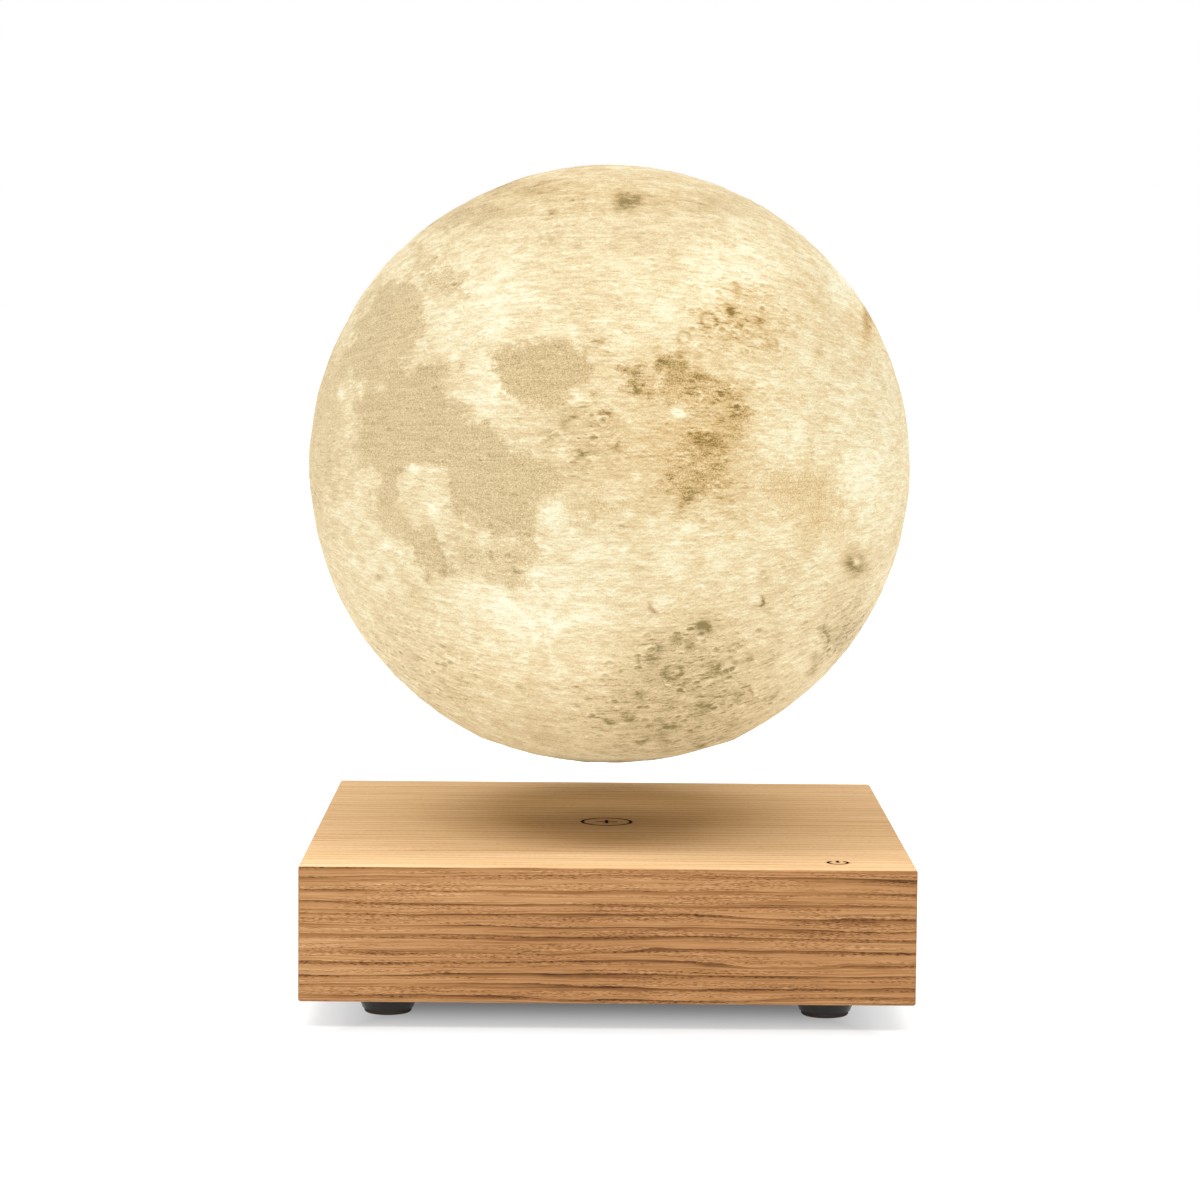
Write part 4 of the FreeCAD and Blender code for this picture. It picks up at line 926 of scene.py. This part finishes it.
def burnt_in(tree, colour):
    """The two burnt marks: charred in the grooves and a little beyond, on the top face only."""
    flat = add(tree, "SeparateXYZ", (millimetres(tree),)).outputs
    line = MARK_LINE / 2

    def ring(x, y, radius):
        """How far a point is outside a ring's line, less than nothing inside it."""
        away = add(tree, "Math:ADD", (add(tree, "Math:MULTIPLY", (x, x)), add(tree, "Math:MULTIPLY", (y, y))))
        for step in (("SQRT",), ("SUBTRACT", radius - line), ("ABSOLUTE",), ("SUBTRACT", line)):
            away = add(tree, "Math:" + step[0], (away, *step[1:]))
        return away

    def bar(x, y, half_wide, half_long, middle=0.0):
        """How far a point is outside a bar, less than nothing inside it."""
        wide = add(tree, "Math:SUBTRACT", (add(tree, "Math:ABSOLUTE", (x,)), half_wide))
        tall = add(tree, "Math:ABSOLUTE", (add(tree, "Math:SUBTRACT", (y, middle)),))
        tall = add(tree, "Math:SUBTRACT", (tall, half_long))
        return add(tree, "Math:MAXIMUM", (wide, tall))

    middle = add(tree, "Math:MINIMUM", (
        ring(flat[0], flat[1], RING_MARK_RADIUS), bar(flat[0], flat[1], line, CROSS_LENGTH / 2)))
    middle = add(tree, "Math:MINIMUM", (middle, bar(flat[0], flat[1], CROSS_LENGTH / 2, line)))
    x = add(tree, "Math:SUBTRACT", (flat[0], TOUCH_MARK[0]))
    y = add(tree, "Math:SUBTRACT", (flat[1], TOUCH_MARK[1]))
    # the arc is open towards the rear
    opening = add(tree, "Math:ABSOLUTE", (x,))
    opening = add(tree, "Math:DIVIDE", (opening, math.tan(math.radians(TOUCH_MARK_GAP / 2))))
    opening = add(tree, "Math:SUBTRACT", (y, opening))
    arc = add(tree, "Math:MAXIMUM", (ring(x, y, TOUCH_MARK_RADIUS), opening))
    touch = add(tree, "Math:MINIMUM", (
        arc, bar(x, y, line, TOUCH_BAR / 2, TOUCH_MARK_RADIUS - TOUCH_BAR / 2)))
    nearest = add(tree, "Math:MINIMUM", (middle, touch))
    top = add(tree, "MapRange", (flat[2], BOX_TOP - 2 * MARK_DEPTH, BOX_TOP - 1.5 * MARK_DEPTH))
    for inner, outer, strength, hex_code in ((0.15, 0.7, 0.35, "#6B4522"), (0.04, 0.22, 1, "#2C1A0C")):
        burn = add(tree, "Math:MULTIPLY", (add(tree, "MapRange", (nearest, inner, outer, strength, 0)), top))
        colour = add(tree, "Mix", {0: burn, 6: colour, 7: linear(hex_code)}, data_type="RGBA").outputs[2]
    return colour


def plain_finish(name, low, high, grain, roughness, stretch=(1, 1, 1), bump=0.05, **surface):
    """A solid material whose colour goes from low to high with one grain, in mm, as do gloss and relief."""
    made, tree, shader = new_material(name, **surface)
    grains = add(tree, "TexNoise", {
        "Vector": millimetres(tree, stretch), "Scale": 1 / grain, "Detail": 4, "Roughness": 0.6})
    feed(shader, {
        "Base Color": add(tree, "ValToRGB", (grains,), stops=[(0.3, low), (0.7, high)]),
        "Roughness": add(tree, "MapRange", (grains, 0.3, 0.7, roughness * 0.85, roughness * 1.15)),
        "Normal": add(tree, "Bump", {"Height": grains, "Strength": 0.4, "Distance": bump * MM})})
    return made


def wound_finish(name, kind, gap):
    """Copper wire with clear enamel: bright ridges, one for each turn."""
    made, tree, shader = new_material(name, Metallic=1.0)
    turns = add(tree, "TexWave", {"Vector": millimetres(tree), "Scale": 0.314 / gap},
                wave_type=kind, bands_direction="Z", rings_direction="Z").outputs["Fac"]
    feed(shader, {
        "Base Color": add(tree, "ValToRGB", (turns,), stops=[(0.0, "#6E3416"), (0.6, "#C8743C")]),
        "Roughness": add(tree, "MapRange", (turns, 0, 1, 0.5, 0.25)),
        "Normal": add(tree, "Bump", {"Height": turns, "Strength": 0.6, "Distance": 0.1 * MM})})
    return made


def board_finish(name, mask, track, roughness):
    """Solder mask over a circuit board: copper tracks show as paler lines, the weave as a faint relief."""
    made, tree, shader = new_material(name, Coat_Weight=0.3)
    tracks = add(tree, "TexBrick", {"Vector": millimetres(tree), "Scale": 0.12, "Mortar Size": 0.05,
                                    "Mortar Smooth": 0.1, "Bias": 0.0, "Color1": linear(mask),
                                    "Color2": linear(mask), "Mortar": linear(track)})
    weave = add(tree, "TexNoise", {"Vector": millimetres(tree, (2, 2, 2)), "Scale": 1.0, "Detail": 2})
    feed(shader, {
        "Base Color": tracks,
        "Roughness": add(tree, "MapRange", (weave, 0.3, 0.7, roughness, roughness + 0.12)),
        "Normal": add(tree, "Bump", {"Height": weave, "Strength": 0.2, "Distance": 0.03 * MM})})
    return made


def led_lens_finish():
    """Silicone with yellow phosphor: egg-yellow, glowing warm white."""
    made, tree, shader = new_material("silicone_phosphor_lens", Roughness=0.3)
    speckle = add(tree, "TexNoise", {"Vector": millimetres(tree), "Scale": 2.0, "Detail": 3})
    feed(shader, {
        "Base Color": add(tree, "ValToRGB", (speckle,), stops=[(0.3, "#E8C23A"), (0.7, "#F7DE6C")]),
        "Emission Color": linear("#FFE2A0"),
        "Emission Strength": 1.0})
    return made


FRONT_OAK = [(0.0, "#482B15"), (0.2, "#784E2B"), (0.4, "#9B6C3F"), (0.6, "#B38151"),
             (0.8, "#C69664"), (1.0, "#DBAF82")]
TOP_OAK = [(0.0, "#7A5634"), (0.25, "#B68E60"), (0.45, "#CDA678"), (0.65, "#DEBA8F"),
           (0.85, "#EACBA5"), (1.0, "#F0D6B2")]


def make_finishes():
    """The record's material slots, each with its finish."""
    return {
        "moon_print": moon_print_finish(),
        # planed softwood: pale yellow with a soft grain
        "pine": plain_finish("pine_planed", "#C79F66", "#E3C48F", 3.0, 0.65, (1, 1, 0.08)),
        # ABS tray under the box, moulded with a fine spark texture: matt black
        "plate_plastic": plain_finish("abs_black_moulded", "#1E1D1C", "#2A2928", 0.5, 0.55, bump=0.03),
        # ABS cup, moulded smooth: very dark brown-black with a soft gloss
        "foot_plastic": plain_finish("abs_dark_brown_moulded", "#3C3935", "#413E39", 4.0, 0.2, bump=0.005),
        # soft rubber: dull and a little dusty
        "foot_rubber": plain_finish("rubber_dark_moulded", "#40352A", "#4A3D30", 2.0, 0.72, bump=0.03),
        # zinc-plated steel: bright, bluish
        "screw_steel": plain_finish("steel_zinc_plated", "#A9ADB2", "#C9CCD0", 0.6, 0.3, Metallic=1.0),
        # nylon frame, moulded: off-white
        "frame_plastic": plain_finish("nylon_natural_moulded", "#C9C3B2", "#DAD5C6", 0.9, 0.5),
        # sintered ferrite: charcoal, slightly grainy
        "ferrite": plain_finish("ferrite_sintered", "#26272A", "#3B3C40", 0.25, 0.5, bump=0.04),
        # PBT bobbins, moulded: black
        "bobbin_plastic": plain_finish("pbt_black_moulded", "#1B1B1C", "#29292A", 0.7, 0.45),
        # enamelled copper, wound turn on turn: reddish and glossy
        "copper_wire": wound_finish("copper_wire_enamelled", "BANDS", 0.45),
        # soft iron core, turned: grey with a dull shine
        "core_steel": plain_finish(
            "soft_iron_turned", "#6C6E70", "#8B8D90", 0.3, 0.4, (1, 1, 6), Metallic=1.0),
        # tinned brass: silvery
        "tinned_pin": plain_finish("brass_tinned", "#B5B6B2", "#D2D3CE", 0.3, 0.25, Metallic=1.0),
        # glass-fibre board under green solder mask: glossy green
        "circuit_board": board_finish("fibreglass_board_green", "#0F4A2A", "#17603A", 0.28),
        # epoxy, transfer moulded: matt black
        "chip_plastic": plain_finish("epoxy_black_moulded", "#17181A", "#232427", 0.2, 0.6, bump=0.02),
        # aluminium can in a printed sleeve: dark blue film
        "capacitor_can": plain_finish("pet_sleeve_dark_blue", "#16233B", "#22345A", 1.0, 0.35),
        # PBT, moulded and polished: black with a soft gloss
        "jack_plastic": plain_finish("pbt_black_glossy", "#151515", "#222222", 0.8, 0.38, bump=0.02),
        # rolled copper foil: pinkish and bright
        "copper_foil": plain_finish(
            "copper_foil_rolled", "#B87345", "#D0905F", 1.5, 0.3, (0.1, 1, 1), Metallic=1.0),
        # drawn spring wire: grey and bright
        "spring_steel": plain_finish("spring_steel_drawn", "#8E9093", "#B4B6B9", 0.3, 0.28, Metallic=1.0),
        # silicone sleeve: soft red
        "lead_sleeve": plain_finish("silicone_sleeve_red", "#8E211B", "#B23428", 0.8, 0.5),
        # nickel plate on a sintered magnet: mirror-like, slightly warm
        "magnet_nickel": plain_finish(
            "nickel_plated", "#AFA99E", "#CFC9BD", 2.5, 0.16, bump=0.01, Metallic=1.0),
        # turned aluminium plate: pale with a fine grain
        "lamp_aluminium": plain_finish("aluminium_turned", "#B9BBBD", "#D9DADB", 0.3, 0.32, Metallic=1.0),
        # aluminium board under white solder mask, printed: bright matt white
        "led_board_white": board_finish("aluminium_board_white", "#E6E6E0", "#CFCFC6", 0.35),
        "led_lens": led_lens_finish(),
    }


def dress_nodes(finishes):
    """Gives every CAD node its finish; the boards and flat coils get their own direction."""
    own = {
        "front_board": oak_finish("oak_oiled_front", (0, 0, 0), "Z", 2.7, FRONT_OAK),
        "rear_board": oak_finish("oak_oiled_rear", (0, 0, 180), "Z", 2.9, FRONT_OAK),
        "left_board": oak_finish("oak_oiled_left", (0, 0, 90), "Z", 2.6, FRONT_OAK),
        "right_board": oak_finish("oak_oiled_right", (0, 0, -90), "Z", 2.8, FRONT_OAK),
        "top_panel": oak_finish("oak_oiled_top", (0, 0, 0), "Y", 3.4, TOP_OAK, marks=True, contrast=0.62),
        "receiver_coil": wound_finish("litz_wire_receiver", "RINGS", 0.5),
        "transmitter_coil": wound_finish("litz_wire_sender", "RINGS", 0.5),
    }
    for part in frame["record"]["subparts"]:
        node = frame["nodes"][part["node"]]
        finish = own.get(part["node"]) or finishes[part["material_slot"]]
        node.data.materials.clear()
        node.data.materials.append(finish)


deselect_all()
make_camera()
make_floor()
light_the_lamp()
finishes = make_finishes()
dress_nodes(finishes)
make_moon_shell(finishes["moon_print"])
make_moon_cap(finishes["moon_print"])

deselect_all()
